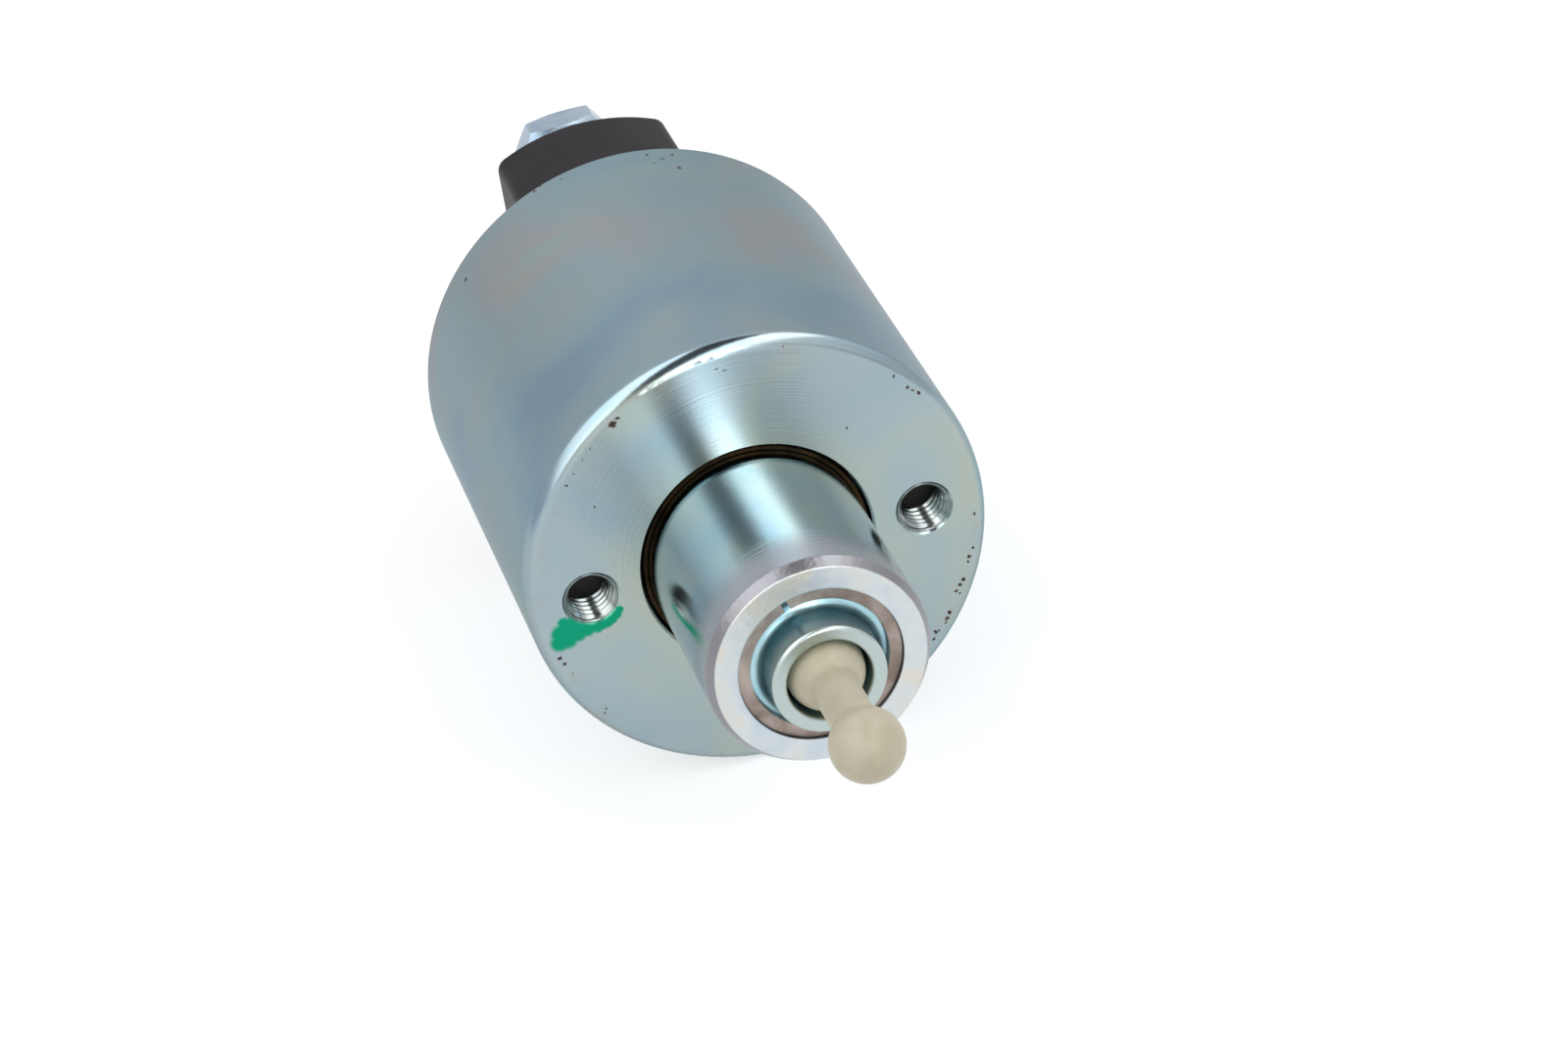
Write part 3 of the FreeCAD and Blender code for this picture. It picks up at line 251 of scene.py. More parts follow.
def passivated_housing():
    """Drawn mild steel, zinc plated and blue passivated.

    The thin passivation film shifts from blue to teal, pink and straw in soft patches. The
    mounting face is turned, so its fine rings draw highlights out into radial fans.
    """
    material, tree, where = new_material("zinc_blue_passivated_housing")
    radius, station = axis_distance(tree, where)
    face = add(tree, "ShaderNodeMapRange", {"interpolation_type": "SMOOTHSTEP"},
               {"Value": station, "From Min": 0.5, "From Max": 0.02})
    patches = add(tree, "ShaderNodeTexNoise",
                  links={"Vector": where, "Scale": 0.045, "Detail": 3.0, "Roughness": 0.45,
                         "Distortion": 0.3})
    # Plating grain, drawn at a third of a millimetre so that it shows.
    grain = add(tree, "ShaderNodeTexNoise",
                links={"Vector": where, "Scale": 3.0, "Detail": 4.0, "Roughness": 0.7})

    metal_colour = add(tree, "ShaderNodeMix", {"data_type": "RGBA"},
                       {0: face.outputs[0], 6: side_film(tree, where, patches.outputs["Fac"]),
                        7: face_film(tree, where, radius)})
    rust, tarnish = housing_stains(tree, where, radius, face.outputs[0])
    browned = add(tree, "ShaderNodeMix", {"data_type": "RGBA"},
                  {0: tarnish, 6: metal_colour.outputs[2], 7: linear("#a39c92")})
    stained = add(tree, "ShaderNodeMix", {"data_type": "RGBA"},
                  {0: rust, 6: browned.outputs[2], 7: linear("#4f3b2e")})
    painted = add(tree, "ShaderNodeMath", {"operation": "MULTIPLY"},
                  {0: spots(tree, where, 0.22, LACQUER_DABS), 1: face.outputs[0]})
    lacquer = add(tree, "ShaderNodeMix", {"data_type": "RGBA"},
                  {0: grain.outputs["Fac"], 6: linear("#02b184"), 7: linear("#0abc8e")})
    colour = add(tree, "ShaderNodeMix", {"data_type": "RGBA"},
                 {0: painted.outputs[0], 6: stained.outputs[2], 7: lacquer.outputs[2]})
    cover = add(tree, "ShaderNodeMath", {"operation": "MAXIMUM"}, {0: rust, 1: painted.outputs[0]})
    bare = add(tree, "ShaderNodeMath", {"operation": "SUBTRACT"}, {0: 1.0, 1: cover.outputs[0]})
    shine = add(tree, "ShaderNodeMapRange",
                links={"Value": cover.outputs[0], "To Min": 0.5, "To Max": 0.15})

    relief = add(tree, "ShaderNodeMath", {"operation": "MULTIPLY_ADD"},
                 {0: grain.outputs["Fac"], 1: 0.15,
                  2: housing_marks(tree, where, radius, face.outputs[0])})
    with_lacquer = add(tree, "ShaderNodeMath", {"operation": "MULTIPLY_ADD"},
                       {0: painted.outputs[0], 1: 3.0, 2: relief.outputs[0]})
    bump = add(tree, "ShaderNodeBump",
               links={"Strength": 0.16, "Distance": 0.04 * MM, "Height": with_lacquer.outputs[0]})
    # Turned rings tilt the metal inwards and outwards, so the face's highlights run radially.
    outwards = add(tree, "ShaderNodeVectorMath", {"operation": "MULTIPLY"},
                   {0: where, 1: (1.0, 0.0, 1.0)})
    radial = add(tree, "ShaderNodeVectorMath", {"operation": "NORMALIZE"},
                 {0: outwards.outputs[0]})
    flat = add(tree, "ShaderNodeMapRange", {"interpolation_type": "SMOOTHSTEP"},
               {"Value": station, "From Min": 0.16, "From Max": 0.01})
    # The side is duller than the polished rim, and the flat face lies between them.
    side_rough = add(tree, "ShaderNodeMapRange",
                     links={"Value": patches.outputs["Fac"], "From Min": 0.3, "From Max": 0.8,
                            "To Min": 0.3, "To Max": 0.38})
    rim = add(tree, "ShaderNodeMapRange", {"interpolation_type": "SMOOTHSTEP"},
              {"Value": station, "From Min": 1.7, "From Max": 1.3})
    rim_rough = add(tree, "ShaderNodeMix", {"data_type": "FLOAT"},
                    {0: rim.outputs[0], 2: side_rough.outputs[0], 3: 0.17})
    rough = add(tree, "ShaderNodeMix", {"data_type": "FLOAT"},
                {0: flat.outputs[0], 2: rim_rough.outputs[0], 3: 0.23})
    shader = add(tree, "ShaderNodeBsdfPrincipled", links={
        "Base Color": colour.outputs[2], "Metallic": bare.outputs[0],
        "Roughness": rough.outputs[0], "Normal": bump.outputs[0],
        "Anisotropic": flat.outputs[0], "Tangent": radial.outputs[0],
        "Specular IOR Level": shine.outputs[0], "Specular Tint": linear("#ccd3d5"),
    })
    finish_material(tree, shader)
    return material


def plunger_zinc():
    """Turned free-cutting steel, zinc plated: bright side, duller bevel, pale end face.

    Along the axis the side dulls from -17.5 mm, its colour there a painted reflection in lilac
    grey, and the bevel begins at -24.6 mm.
    """
    material, tree, where = new_material("zinc_turned_plunger")
    radius, station = axis_distance(tree, where)
    film_noise = add(tree, "ShaderNodeTexNoise",
                     links={"Vector": where, "Scale": 0.09, "Detail": 2.0, "Distortion": 0.8})
    film = add(tree, "ShaderNodeValToRGB", {"stops": [
        (0.3, linear("#a9bec8")), (0.5, linear("#b8c5c8")), (0.7, linear("#c1c6bc")),
    ]}, {"Fac": film_noise.outputs["Fac"]})
    # Painted reflection: towards the end the side's colour turns lilac grey, standing in for the
    # room beyond the face that the metal mirrors there.
    painted_reflection_near_end = add(tree, "ShaderNodeMapRange", {"interpolation_type": "SMOOTHSTEP"},
                   {"Value": station, "From Min": -17.5, "From Max": -23.0, "To Max": 0.8})
    side = add(tree, "ShaderNodeMix", {"data_type": "RGBA"},
               {0: painted_reflection_near_end.outputs[0], 6: film.outputs["Color"], 7: linear("#a6a6ad")})
    bevel = add(tree, "ShaderNodeMapRange", {"interpolation_type": "SMOOTHSTEP"},
                {"Value": station, "From Min": -24.6, "From Max": -25.2, "To Max": 0.85})
    dulled = add(tree, "ShaderNodeMix", {"data_type": "RGBA"},
                 {0: bevel.outputs[0], 6: side.outputs[2], 7: linear("#807f84")})
    end = add(tree, "ShaderNodeMapRange",
              links={"Value": station, "From Min": PLUNGER_FRONT + 0.15,
                     "From Max": PLUNGER_FRONT + 0.02})
    end_noise = add(tree, "ShaderNodeTexNoise",
                    links={"Vector": where, "Scale": 0.16, "Detail": 3.0, "Distortion": 0.5})
    end_film = add(tree, "ShaderNodeValToRGB", {"stops": [
        (0.36, linear("#bcc6d0")), (0.5, linear("#cad0d0")), (0.64, linear("#cfccc4")),
    ]}, {"Fac": end_noise.outputs["Fac"]})
    colour = add(tree, "ShaderNodeMix", {"data_type": "RGBA"},
                 {0: end.outputs[0], 6: dulled.outputs[2], 7: end_film.outputs["Color"]})

    # Turning marks ring the side, the bevel and the end face, about a third of a millimetre
    # apart, so that they show.
    ring_place = add(tree, "ShaderNodeMath", {"operation": "ADD"}, {0: radius, 1: station})
    ring_scaled = add(tree, "ShaderNodeMath", {"operation": "MULTIPLY"},
                      {0: ring_place.outputs[0], 1: 3.0})
    turning = add(tree, "ShaderNodeTexNoise", {"noise_dimensions": "1D"},
                  {"W": ring_scaled.outputs[0], "Scale": 1.0, "Detail": 3.0})
    grain = add(tree, "ShaderNodeTexNoise",
                links={"Vector": where, "Scale": 2.2, "Detail": 4.0, "Roughness": 0.65})
    # A torn burr runs round the bevel.
    burr_low = add(tree, "ShaderNodeMapRange",
                   links={"Value": station, "From Min": -23.9, "From Max": -24.7})
    burr_field = add(tree, "ShaderNodeTexVoronoi", {"feature": "F1"},
                     {"Vector": where, "Scale": 1.3})
    burr = add(tree, "ShaderNodeMath", {"operation": "MULTIPLY"},
               {0: burr_low.outputs[0], 1: burr_field.outputs["Distance"]})
    relief = add(tree, "ShaderNodeMath", {"operation": "MULTIPLY_ADD"},
                 {0: grain.outputs["Fac"], 1: 0.8, 2: turning.outputs["Fac"]})
    whole = add(tree, "ShaderNodeMath", {"operation": "MULTIPLY_ADD"},
                {0: burr.outputs[0], 1: 2.5, 2: relief.outputs[0]})
    broken_edge = add(tree, "ShaderNodeBevel", {"samples": 4}, {"Radius": 0.25 * MM})
    bump = add(tree, "ShaderNodeBump",
               links={"Strength": 0.2, "Distance": 0.05 * MM, "Height": whole.outputs[0],
                      "Normal": broken_edge.outputs[0]})
    rough = add(tree, "ShaderNodeMapRange",
                links={"Value": station, "From Min": -18.0, "From Max": PLUNGER_FRONT,
                       "To Min": 0.12, "To Max": 0.36})
    shader = add(tree, "ShaderNodeBsdfPrincipled", links={
        "Base Color": colour.outputs[2], "Metallic": 1.0, "Roughness": rough.outputs[0],
        "Normal": bump.outputs[0],
    })
    finish_material(tree, shader)
    return material


def metal(name, low, high, rough, grain_scale, strength, zones=()):
    """A plated or bare metal whose tone drifts between two colours, with a fine grain.

    The grain's scale is in waves per millimetre. The real grain is too fine to show, so it is
    drawn at about a millimetre.
    Each zone, as (measure, start, end, colour), has a colour of its own: a tone of the metal, or
    painted shade. It is measured "along" the solenoid's axis or "out" from it.
    """
    material, tree, where = new_material(name)
    drift = add(tree, "ShaderNodeTexNoise",
                links={"Vector": where, "Scale": 0.25, "Detail": 3.0, "Distortion": 0.5})
    tone = add(tree, "ShaderNodeValToRGB", {"stops": [
        (0.35, linear(low)), (0.65, linear(high)),
    ]}, {"Fac": drift.outputs["Fac"]})
    colour = tone.outputs["Color"]
    measures = dict(zip(("out", "along"), axis_distance(tree, where))) if zones else {}
    for measure, start, end, code in zones:
        inside = add(tree, "ShaderNodeMapRange", {"interpolation_type": "SMOOTHSTEP"},
                     {"Value": measures[measure], "From Min": start, "From Max": end})
        mixed = add(tree, "ShaderNodeMix", {"data_type": "RGBA"},
                    {0: inside.outputs[0], 6: colour, 7: linear(code)})
        colour = mixed.outputs[2]
    grain = add(tree, "ShaderNodeTexNoise",
                links={"Vector": where, "Scale": grain_scale, "Detail": 4.0, "Roughness": 0.65})
    broken_edge = add(tree, "ShaderNodeBevel", {"samples": 4}, {"Radius": 0.12 * MM})
    bump = add(tree, "ShaderNodeBump",
               links={"Strength": strength, "Distance": 0.05 * MM, "Height": grain.outputs["Fac"],
                      "Normal": broken_edge.outputs[0]})
    gloss = add(tree, "ShaderNodeMapRange",
                links={"Value": grain.outputs["Fac"], "To Min": rough - 0.06,
                       "To Max": rough + 0.06})
    shader = add(tree, "ShaderNodeBsdfPrincipled", links={
        "Base Color": colour, "Metallic": 1.0, "Roughness": gloss.outputs[0],
        "Normal": bump.outputs[0],
    })
    finish_material(tree, shader)
    return material


def moulded(name, low, high, rough, grain_scale, strength, glow=0.0, shine=0.5):
    """A moulded plastic or rubber: drifting tone, fine die texture and some light inside it.

    The texture's scale is in waves per millimetre, coarser than the real one so that it shows.
    """
    material, tree, where = new_material(name)
    drift = add(tree, "ShaderNodeTexNoise",
                links={"Vector": where, "Scale": 0.3, "Detail": 3.0})
    tone = add(tree, "ShaderNodeValToRGB", {"stops": [
        (0.35, linear(low)), (0.65, linear(high)),
    ]}, {"Fac": drift.outputs["Fac"]})
    grain = add(tree, "ShaderNodeTexNoise",
                links={"Vector": where, "Scale": grain_scale, "Detail": 4.0, "Roughness": 0.6})
    bump = add(tree, "ShaderNodeBump",
               links={"Strength": strength, "Distance": 0.06 * MM, "Height": grain.outputs["Fac"]})
    gloss = add(tree, "ShaderNodeMapRange",
                links={"Value": grain.outputs["Fac"], "To Min": rough - 0.07,
                       "To Max": rough + 0.07})
    shader = add(tree, "ShaderNodeBsdfPrincipled", {"subsurface_method": "RANDOM_WALK"}, {
        "Base Color": tone.outputs["Color"], "Roughness": gloss.outputs[0],
        "Normal": bump.outputs[0], "Subsurface Weight": glow, "Subsurface Scale": 1.5 * MM,
        "Subsurface Radius": (1.0, 0.8, 0.55), "IOR": 1.5,
        "Specular IOR Level": shine,
    })
    finish_material(tree, shader)
    return material


def thread_tree():
    """Nodes that wind a 60 degree thread round an axis parallel to the solenoid's.

    A grid is rolled into a closed sleeve. Its inner rows follow the thread's profile. The first
    row and the last two lie on the backing radius, which is 0 for a solid stud, and the very
    last meets the first.
    """
    tree = bpy.data.node_groups.new("screw_thread", "GeometryNodeTree")
    tree.interface.new_socket("Thread", in_out="OUTPUT", socket_type="NodeSocketGeometry")
    tree.interface.new_socket("Centre", in_out="INPUT", socket_type="NodeSocketVector")
    tree.interface.new_socket("Material", in_out="INPUT", socket_type="NodeSocketMaterial")
    for name in ("Length", "Pitch", "Root radius", "Crest radius", "Backing radius",
                 "Mouth radius", "Tip radius"):
        tree.interface.new_socket(name, in_out="INPUT", socket_type="NodeSocketFloat")
    for name in ("Steps around", "Steps along"):
        tree.interface.new_socket(name, in_out="INPUT", socket_type="NodeSocketInt")
    given = add(tree, "NodeGroupInput").outputs
    columns = add(tree, "ShaderNodeMath", {}, {0: given["Steps around"], 1: 1.0})
    rows = add(tree, "ShaderNodeMath", {}, {0: given["Steps along"], 1: 4.0})
    grid = add(tree, "GeometryNodeMeshGrid", links={
        "Size X": 1.0, "Size Y": 1.0, "Vertices X": columns.outputs[0],
        "Vertices Y": rows.outputs[0],
    })
    spot = add(tree, "GeometryNodeInputPosition")
    split = add(tree, "ShaderNodeSeparateXYZ", links={0: spot.outputs[0]})
    share = add(tree, "ShaderNodeMath", {}, {0: split.outputs[0], 1: 0.5})
    raised = add(tree, "ShaderNodeMath", {}, {0: split.outputs[1], 1: 0.5})
    last = add(tree, "ShaderNodeMath", {}, {0: given["Steps along"], 1: 3.0})
    row = add(tree, "ShaderNodeMath", {"operation": "MULTIPLY"},
              {0: raised.outputs[0], 1: last.outputs[0]})

    top = add(tree, "ShaderNodeMath", {}, {0: given["Steps along"], 1: 1.0})
    along = add(tree, "ShaderNodeMapRange", links={
        "Value": row.outputs[0], "From Min": 1.0, "From Max": top.outputs[0],
        "To Min": 0.0, "To Max": 1.0,
    })
    closing = add(tree, "ShaderNodeMath", {}, {0: given["Steps along"], 1: 2.5})
    is_first = add(tree, "ShaderNodeMath", {"operation": "LESS_THAN"}, {0: row.outputs[0], 1: 0.5})
    is_closing = add(tree, "ShaderNodeMath", {"operation": "GREATER_THAN"},
                     {0: row.outputs[0], 1: closing.outputs[0]})
    behind = add(tree, "ShaderNodeMath", {}, {0: given["Steps along"], 1: 1.5})
    is_behind = add(tree, "ShaderNodeMath", {"operation": "GREATER_THAN"},
                    {0: row.outputs[0], 1: behind.outputs[0]})
    on_backing = add(tree, "ShaderNodeMath", {"operation": "MAXIMUM"},
                     {0: is_first.outputs[0], 1: is_behind.outputs[0]})
    not_closing = add(tree, "ShaderNodeMath", {"operation": "SUBTRACT"},
                      {0: 1.0, 1: is_closing.outputs[0]})
    fraction = add(tree, "ShaderNodeMath", {"operation": "MULTIPLY"},
                   {0: along.outputs[0], 1: not_closing.outputs[0]})
    station = add(tree, "ShaderNodeMath", {"operation": "MULTIPLY"},
                  {0: fraction.outputs[0], 1: given["Length"]})

    turns = add(tree, "ShaderNodeMath", {"operation": "DIVIDE"},
                {0: station.outputs[0], 1: given["Pitch"]})
    wound = add(tree, "ShaderNodeMath", {}, {0: turns.outputs[0], 1: share.outputs[0]})
    phase = add(tree, "ShaderNodeMath", {"operation": "PINGPONG"}, {0: wound.outputs[0], 1: 0.5})
    # The phase runs from 0 at the root to 0.5 at the crest, with a small flat at each.
    flank = add(tree, "ShaderNodeMapRange", links={
        "Value": phase.outputs[0], "From Min": 0.07, "From Max": 0.44,
        "To Min": given["Root radius"], "To Max": given["Crest radius"],
    })
    from_end = add(tree, "ShaderNodeMath", {"operation": "SUBTRACT"},
                   {0: given["Length"], 1: station.outputs[0]})
    tip = add(tree, "ShaderNodeMath", {}, {0: given["Tip radius"], 1: from_end.outputs[0]})
    mouth = add(tree, "ShaderNodeMath", {"operation": "SUBTRACT"},
                {0: given["Mouth radius"], 1: station.outputs[0]})
    below_tip = add(tree, "ShaderNodeMath", {"operation": "MINIMUM"},
                    {0: flank.outputs[0], 1: tip.outputs[0]})
    above_mouth = add(tree, "ShaderNodeMath", {"operation": "MAXIMUM"},
                      {0: below_tip.outputs[0], 1: mouth.outputs[0]})
    radius = add(tree, "ShaderNodeMix", {"data_type": "FLOAT"},
                 {0: on_backing.outputs[0], 2: above_mouth.outputs[0],
                  3: given["Backing radius"]})
    turn = add(tree, "ShaderNodeMath", {"operation": "MULTIPLY"},
               {0: share.outputs[0], 1: 2 * math.pi})
    across = add(tree, "ShaderNodeMath", {"operation": "COSINE"}, {0: turn.outputs[0]})
    up = add(tree, "ShaderNodeMath", {"operation": "SINE"}, {0: turn.outputs[0]})
    across_radius = add(tree, "ShaderNodeMath", {"operation": "MULTIPLY"},
                        {0: across.outputs[0], 1: radius.outputs[0]})
    up_radius = add(tree, "ShaderNodeMath", {"operation": "MULTIPLY"},
                    {0: up.outputs[0], 1: radius.outputs[0]})
    rolled = add(tree, "ShaderNodeCombineXYZ", links={
        0: across_radius.outputs[0], 1: station.outputs[0], 2: up_radius.outputs[0],
    })
    placed = add(tree, "ShaderNodeVectorMath", {"operation": "ADD"},
                 {0: rolled.outputs[0], 1: given["Centre"]})
    wind = add(tree, "GeometryNodeSetPosition",
               links={"Geometry": grid.outputs["Mesh"], "Position": placed.outputs[0]})
    closed = add(tree, "GeometryNodeMergeByDistance",
                 links={"Geometry": wind.outputs[0], "Distance": 0.002 * MM})
    real = add(tree, "GeometryNodeRealizeInstances", links={0: closed.outputs[0]})
    painted = add(tree, "GeometryNodeSetMaterial",
                  links={"Geometry": real.outputs[0], "Material": given["Material"]})
    add(tree, "NodeGroupOutput", links={0: painted.outputs[0]})
    return tree


def thread(name, tree, body, sizes):
    """Wind one thread with the node tree and keep it as a plain mesh that rides on a body."""
    piece = bpy.data.objects.new(name, bpy.data.meshes.new(name))
    scene.collection.objects.link(piece)
    nodes = piece.modifiers.new("thread", "NODES")
    nodes.node_group = tree
    sockets = {item.name: item.identifier for item in tree.interface.items_tree
               if item.in_out == "INPUT"}
    for key, size in sizes.items():
        nodes[sockets[key]] = size
    solid = bpy.data.meshes.new_from_object(
        piece.evaluated_get(bpy.context.evaluated_depsgraph_get()))
    piece.modifiers.clear()
    piece.data = solid
    solid.name = name
    outward_faces(solid)
    solid.shade_smooth()
    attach(piece, body)


def outward_faces(mesh):
    """Drop loose edges and turn every face outwards."""
    work = bmesh.new()
    work.from_mesh(mesh)
    loose = [edge for edge in work.edges if not edge.link_faces]
    bmesh.ops.delete(work, geom=loose, context="EDGES")
    bmesh.ops.recalc_face_normals(work, faces=work.faces)
    work.to_mesh(mesh)
    work.free()


housing_metal = passivated_housing()
plunger_metal = plunger_zinc()
# Thread cut in the housing's steel: bright, with sharp crests.
thread_metal = metal("zinc_cut_thread", "#7d8587", "#a3aaa7", 0.17, 1.0, 0.04)
# Nuts and washers, cold formed and zinc plated: bluish, with a faint orange peel.
nut_metal = metal("zinc_cold_formed_nut", "#97a9bb", "#aab9c6", 0.26, 1.2, 0.15)
# Collar, deep drawn and passivated: smooth and cool blue, its rim paler. Its flange beyond 8 mm,
# seen only through the retaining ring's split, is painted dark as painted shade in the split.
collar_metal = metal("zinc_deep_drawn_collar", "#9cc6d3", "#b0d0d7", 0.3, 1.5, 0.15,
                     zones=(("along", -28.9, -29.5, "#b3c0be"), ("out", 7.85, 8.0, "#56666a")))
# Retaining ring, unplated spring steel: brownish grey, rough with scale.
ring_metal = metal("spring_steel_ring", "#85776f", "#b0a49c", 0.5, 4.5, 1.0)
# Sleeve, drawn brass, its tone darkened to near black-brown as painted shade deep in the opening: a
# brown line there.
brass = metal("drawn_brass_sleeve_painted_shade", "#1f1810", "#3f3220", 0.6, 1.5, 0.1)
# Terminals and bridge, electrolytic copper: warm and softly bright.
copper = metal("electrolytic_copper", "#b06a45", "#c98560", 0.32, 1.0, 0.2)
# Blade, stamped from tinned brass: pale, with a little yellow in it.
tinned_brass = metal("tinned_brass_blade", "#b7b4a4", "#cfcab4", 0.3, 1.0, 0.15)
# Core, plate and contact rod, mild steel under oil: dull warm grey.
bare_steel = metal("oiled_mild_steel", "#74716c", "#8b8780", 0.4, 1.5, 0.3)
# Springs and clip, cold drawn wire: dark grey satin.
spring_wire = metal("patented_spring_wire", "#5a5a5c", "#77777a", 0.35, 1.5, 0.2)
# Windings and leads, enamel over copper: red brown gloss.
magnet_wire = metal("enamelled_copper_wire", "#8a4523", "#a85a30", 0.25, 1.0, 0.2)
# Link rod, natural nylon, moulded: ivory, and light enters it a little.
nylon = moulded("natural_nylon_66", "#d0c7ac", "#dad1b9", 0.42, 1.4, 0.35, glow=0.35)
# Cap, glass filled phenolic, moulded: near black with a hint of plum, and matt.
cap_plastic = moulded("glass_filled_phenolic_cap", "#0d0a0f", "#151118", 0.48, 3.5, 0.5,
                      shine=0.17)
# Bobbin, bush and contact washer, black nylon, moulded: plain satin black.
former_plastic = moulded("black_nylon_former", "#151415", "#1e1c1d", 0.5, 2.0, 0.3)
# Seals, nitrile rubber, moulded: soft black with hardly any shine.
seal_rubber = moulded("nitrile_rubber", "#141414", "#1c1c1c", 0.6, 1.5, 0.3)
# Tape round the windings, kraft paper: matt brown.
paper_tape = moulded("kraft_tape", "#8a6c3a", "#a38450", 0.7, 1.2, 0.4)

NODE_FINISHES = {
    "housing": housing_metal,
    "plunger": plunger_metal,
    "plunger_ring": ring_metal,
    "collar": collar_metal,
    "rod_washer": nut_metal,
    "guide_sleeve": brass,
    "link_rod": nylon,
    "rear_cap": cap_plastic,
    "bobbin": former_plastic,
    "contact_bush": former_plastic,
    "contact_washer": former_plastic,
    "cap_seal": seal_rubber,
    "terminal_seals": seal_rubber,
    "terminal_washers": nut_metal,
    "terminal_lock_washers": nut_metal,
    "terminal_nuts": nut_metal,
    "battery_terminal": copper,
    "motor_terminal": copper,
    "contact_bridge": copper,
    "blade_terminal": tinned_brass,
    "fixed_core": bare_steel,
    "core_plate": bare_steel,
    "contact_rod": bare_steel,
    "contact_clip": spring_wire,
    "engagement_spring": spring_wire,
    "plunger_spring": spring_wire,
    "contact_spring": spring_wire,
    "opening_spring": spring_wire,
    "pull_in_winding": magnet_wire,
    "hold_in_winding": magnet_wire,
    "winding_wrap": paper_tape,
    "start_leads": magnet_wire,
    "motor_lead": magnet_wire,
    "earth_lead": magnet_wire,
}
for node, material in NODE_FINISHES.items():
    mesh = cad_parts[node].data
    mesh.materials.clear()
    mesh.materials.append(material)

# Each fixing hole gets a wound M6 thread. It starts in the countersink, whose slope its mouth
# follows, and ends just short of the wall's inside. Its backing stands just clear of the wall.
THREAD_START = 0.25
THREAD_SHORT = 0.01
NO_TIP = 1.0  # A tip radius of a metre leaves the thread's end alone.
screw_thread = thread_tree()
for side, x in (("left", -HOLE_SPACING / 2), ("right", HOLE_SPACING / 2)):
    thread(f"{side}_fixing_thread", screw_thread, "casing", {
        "Centre": (x * MM, THREAD_START * MM, 0.0),
        "Length": (FRONT_WALL - THREAD_START - THREAD_SHORT) * MM, "Pitch": 1.0 * MM,
        "Root radius": 2.94 * MM, "Crest radius": 2.46 * MM, "Backing radius": 2.985 * MM,
        "Mouth radius": 3.18 * MM, "Tip radius": NO_TIP, "Steps around": 64,
        "Steps along": 72, "Material": thread_metal,
    })

# The studs' free ends get a wound M8 thread in place of the plain cylinder. The cut and the
# thread's first turn are hidden in the nut, these depths inside it.
CUT_IN_NUT = 0.3
THREAD_IN_NUT = 0.25


def without_free_end(node, station):
    """The terminal up to a station, as one closed piece that stands for its CAD node."""
    work = bmesh.new()
    work.from_mesh(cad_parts[node].data)
    bmesh.ops.remove_doubles(work, verts=work.verts, dist=1e-7)
    everything = [*work.verts, *work.edges, *work.faces]
    bmesh.ops.bisect_plane(work, geom=everything, plane_co=(0, station, 0), plane_no=(0, 1, 0),
                           clear_outer=True)
    bmesh.ops.holes_fill(work, edges=[edge for edge in work.edges if edge.is_boundary])
    shape = bpy.data.meshes.new(node + "_head")
    work.to_mesh(shape)
    work.free()
    shape.materials.append(copper)
    piece = bpy.data.objects.new(node + "_head", shape)
    scene.collection.objects.link(piece)
    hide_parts(node)
    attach(piece, "casing")


for terminal, side in (("battery_terminal", 1), ("motor_terminal", -1)):
    without_free_end(terminal, (NUT_REAR - CUT_IN_NUT) * MM)
    thread(terminal + "_thread", screw_thread, "casing", {
        "Centre": (STUD_SHIFT * MM, (NUT_REAR - THREAD_IN_NUT) * MM, side * STUD_HEIGHT * MM),
        "Length": (STUD_END - NUT_REAR + THREAD_IN_NUT) * MM, "Pitch": 1.25 * MM,
        "Root radius": 3.4 * MM, "Crest radius": 4.0 * MM, "Backing radius": 0.0,
        "Mouth radius": 0.0, "Tip radius": 3.1 * MM, "Steps around": 72, "Steps along": 90,
        "Material": copper,
    })

# Each spring gets a mesh of its own; the joint and the end it stands on are listed beside it but
# not read.
for spring, joint, stands_on_rear_end in (
        ("plunger_spring", "plunger_slide", True), ("engagement_spring", "link_rod_slide", False),
        ("opening_spring", "contact_slide", True), ("contact_spring", "bridge_slide", False)):
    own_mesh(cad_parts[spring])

# Floor 0.1 mm under the housing, nearly white, which keeps the shadow.
FLOOR = -27.6 * MM
FLOOR_REACH = 6.0
floor_mesh = bpy.data.meshes.new("floor")
floor_mesh.from_pydata([(across * FLOOR_REACH, along * FLOOR_REACH, FLOOR)
                        for across, along in ((-1, -1), (1, -1), (1, 1), (-1, 1))],
                       [], [(0, 1, 2, 3)])
floor = bpy.data.objects.new("floor", floor_mesh)
scene.collection.objects.link(floor)
floor_look = bpy.data.materials.new("matt_white_floor")
floor_look.use_nodes = True
tree = floor_look.node_tree
tree.nodes.clear()
path = add(tree, "ShaderNodeLightPath")
seen = add(tree, "ShaderNodeMath", {"operation": "ADD", "use_clamp": True},
           {0: path.outputs["Is Camera Ray"], 1: path.outputs["Is Glossy Ray"]})
seen_all = add(tree, "ShaderNodeMath", {"operation": "ADD", "use_clamp": True},
               {0: seen.outputs[0], 1: path.outputs["Is Transmission Ray"]})
FLOOR_GLOW = 0.55
lift = add(tree, "ShaderNodeMath", {"operation": "MULTIPLY"},
           {0: seen_all.outputs[0], 1: FLOOR_GLOW})
white = add(tree, "ShaderNodeBsdfDiffuse", links={"Color": linear("#e6e6e6")})
glow = add(tree, "ShaderNodeEmission", links={"Strength": lift.outputs[0]})
both = add(tree, "ShaderNodeAddShader", links={0: white.outputs[0], 1: glow.outputs[0]})
add(tree, "ShaderNodeOutputMaterial", links={"Surface": both.outputs[0]})
floor_mesh.materials.append(floor_look)

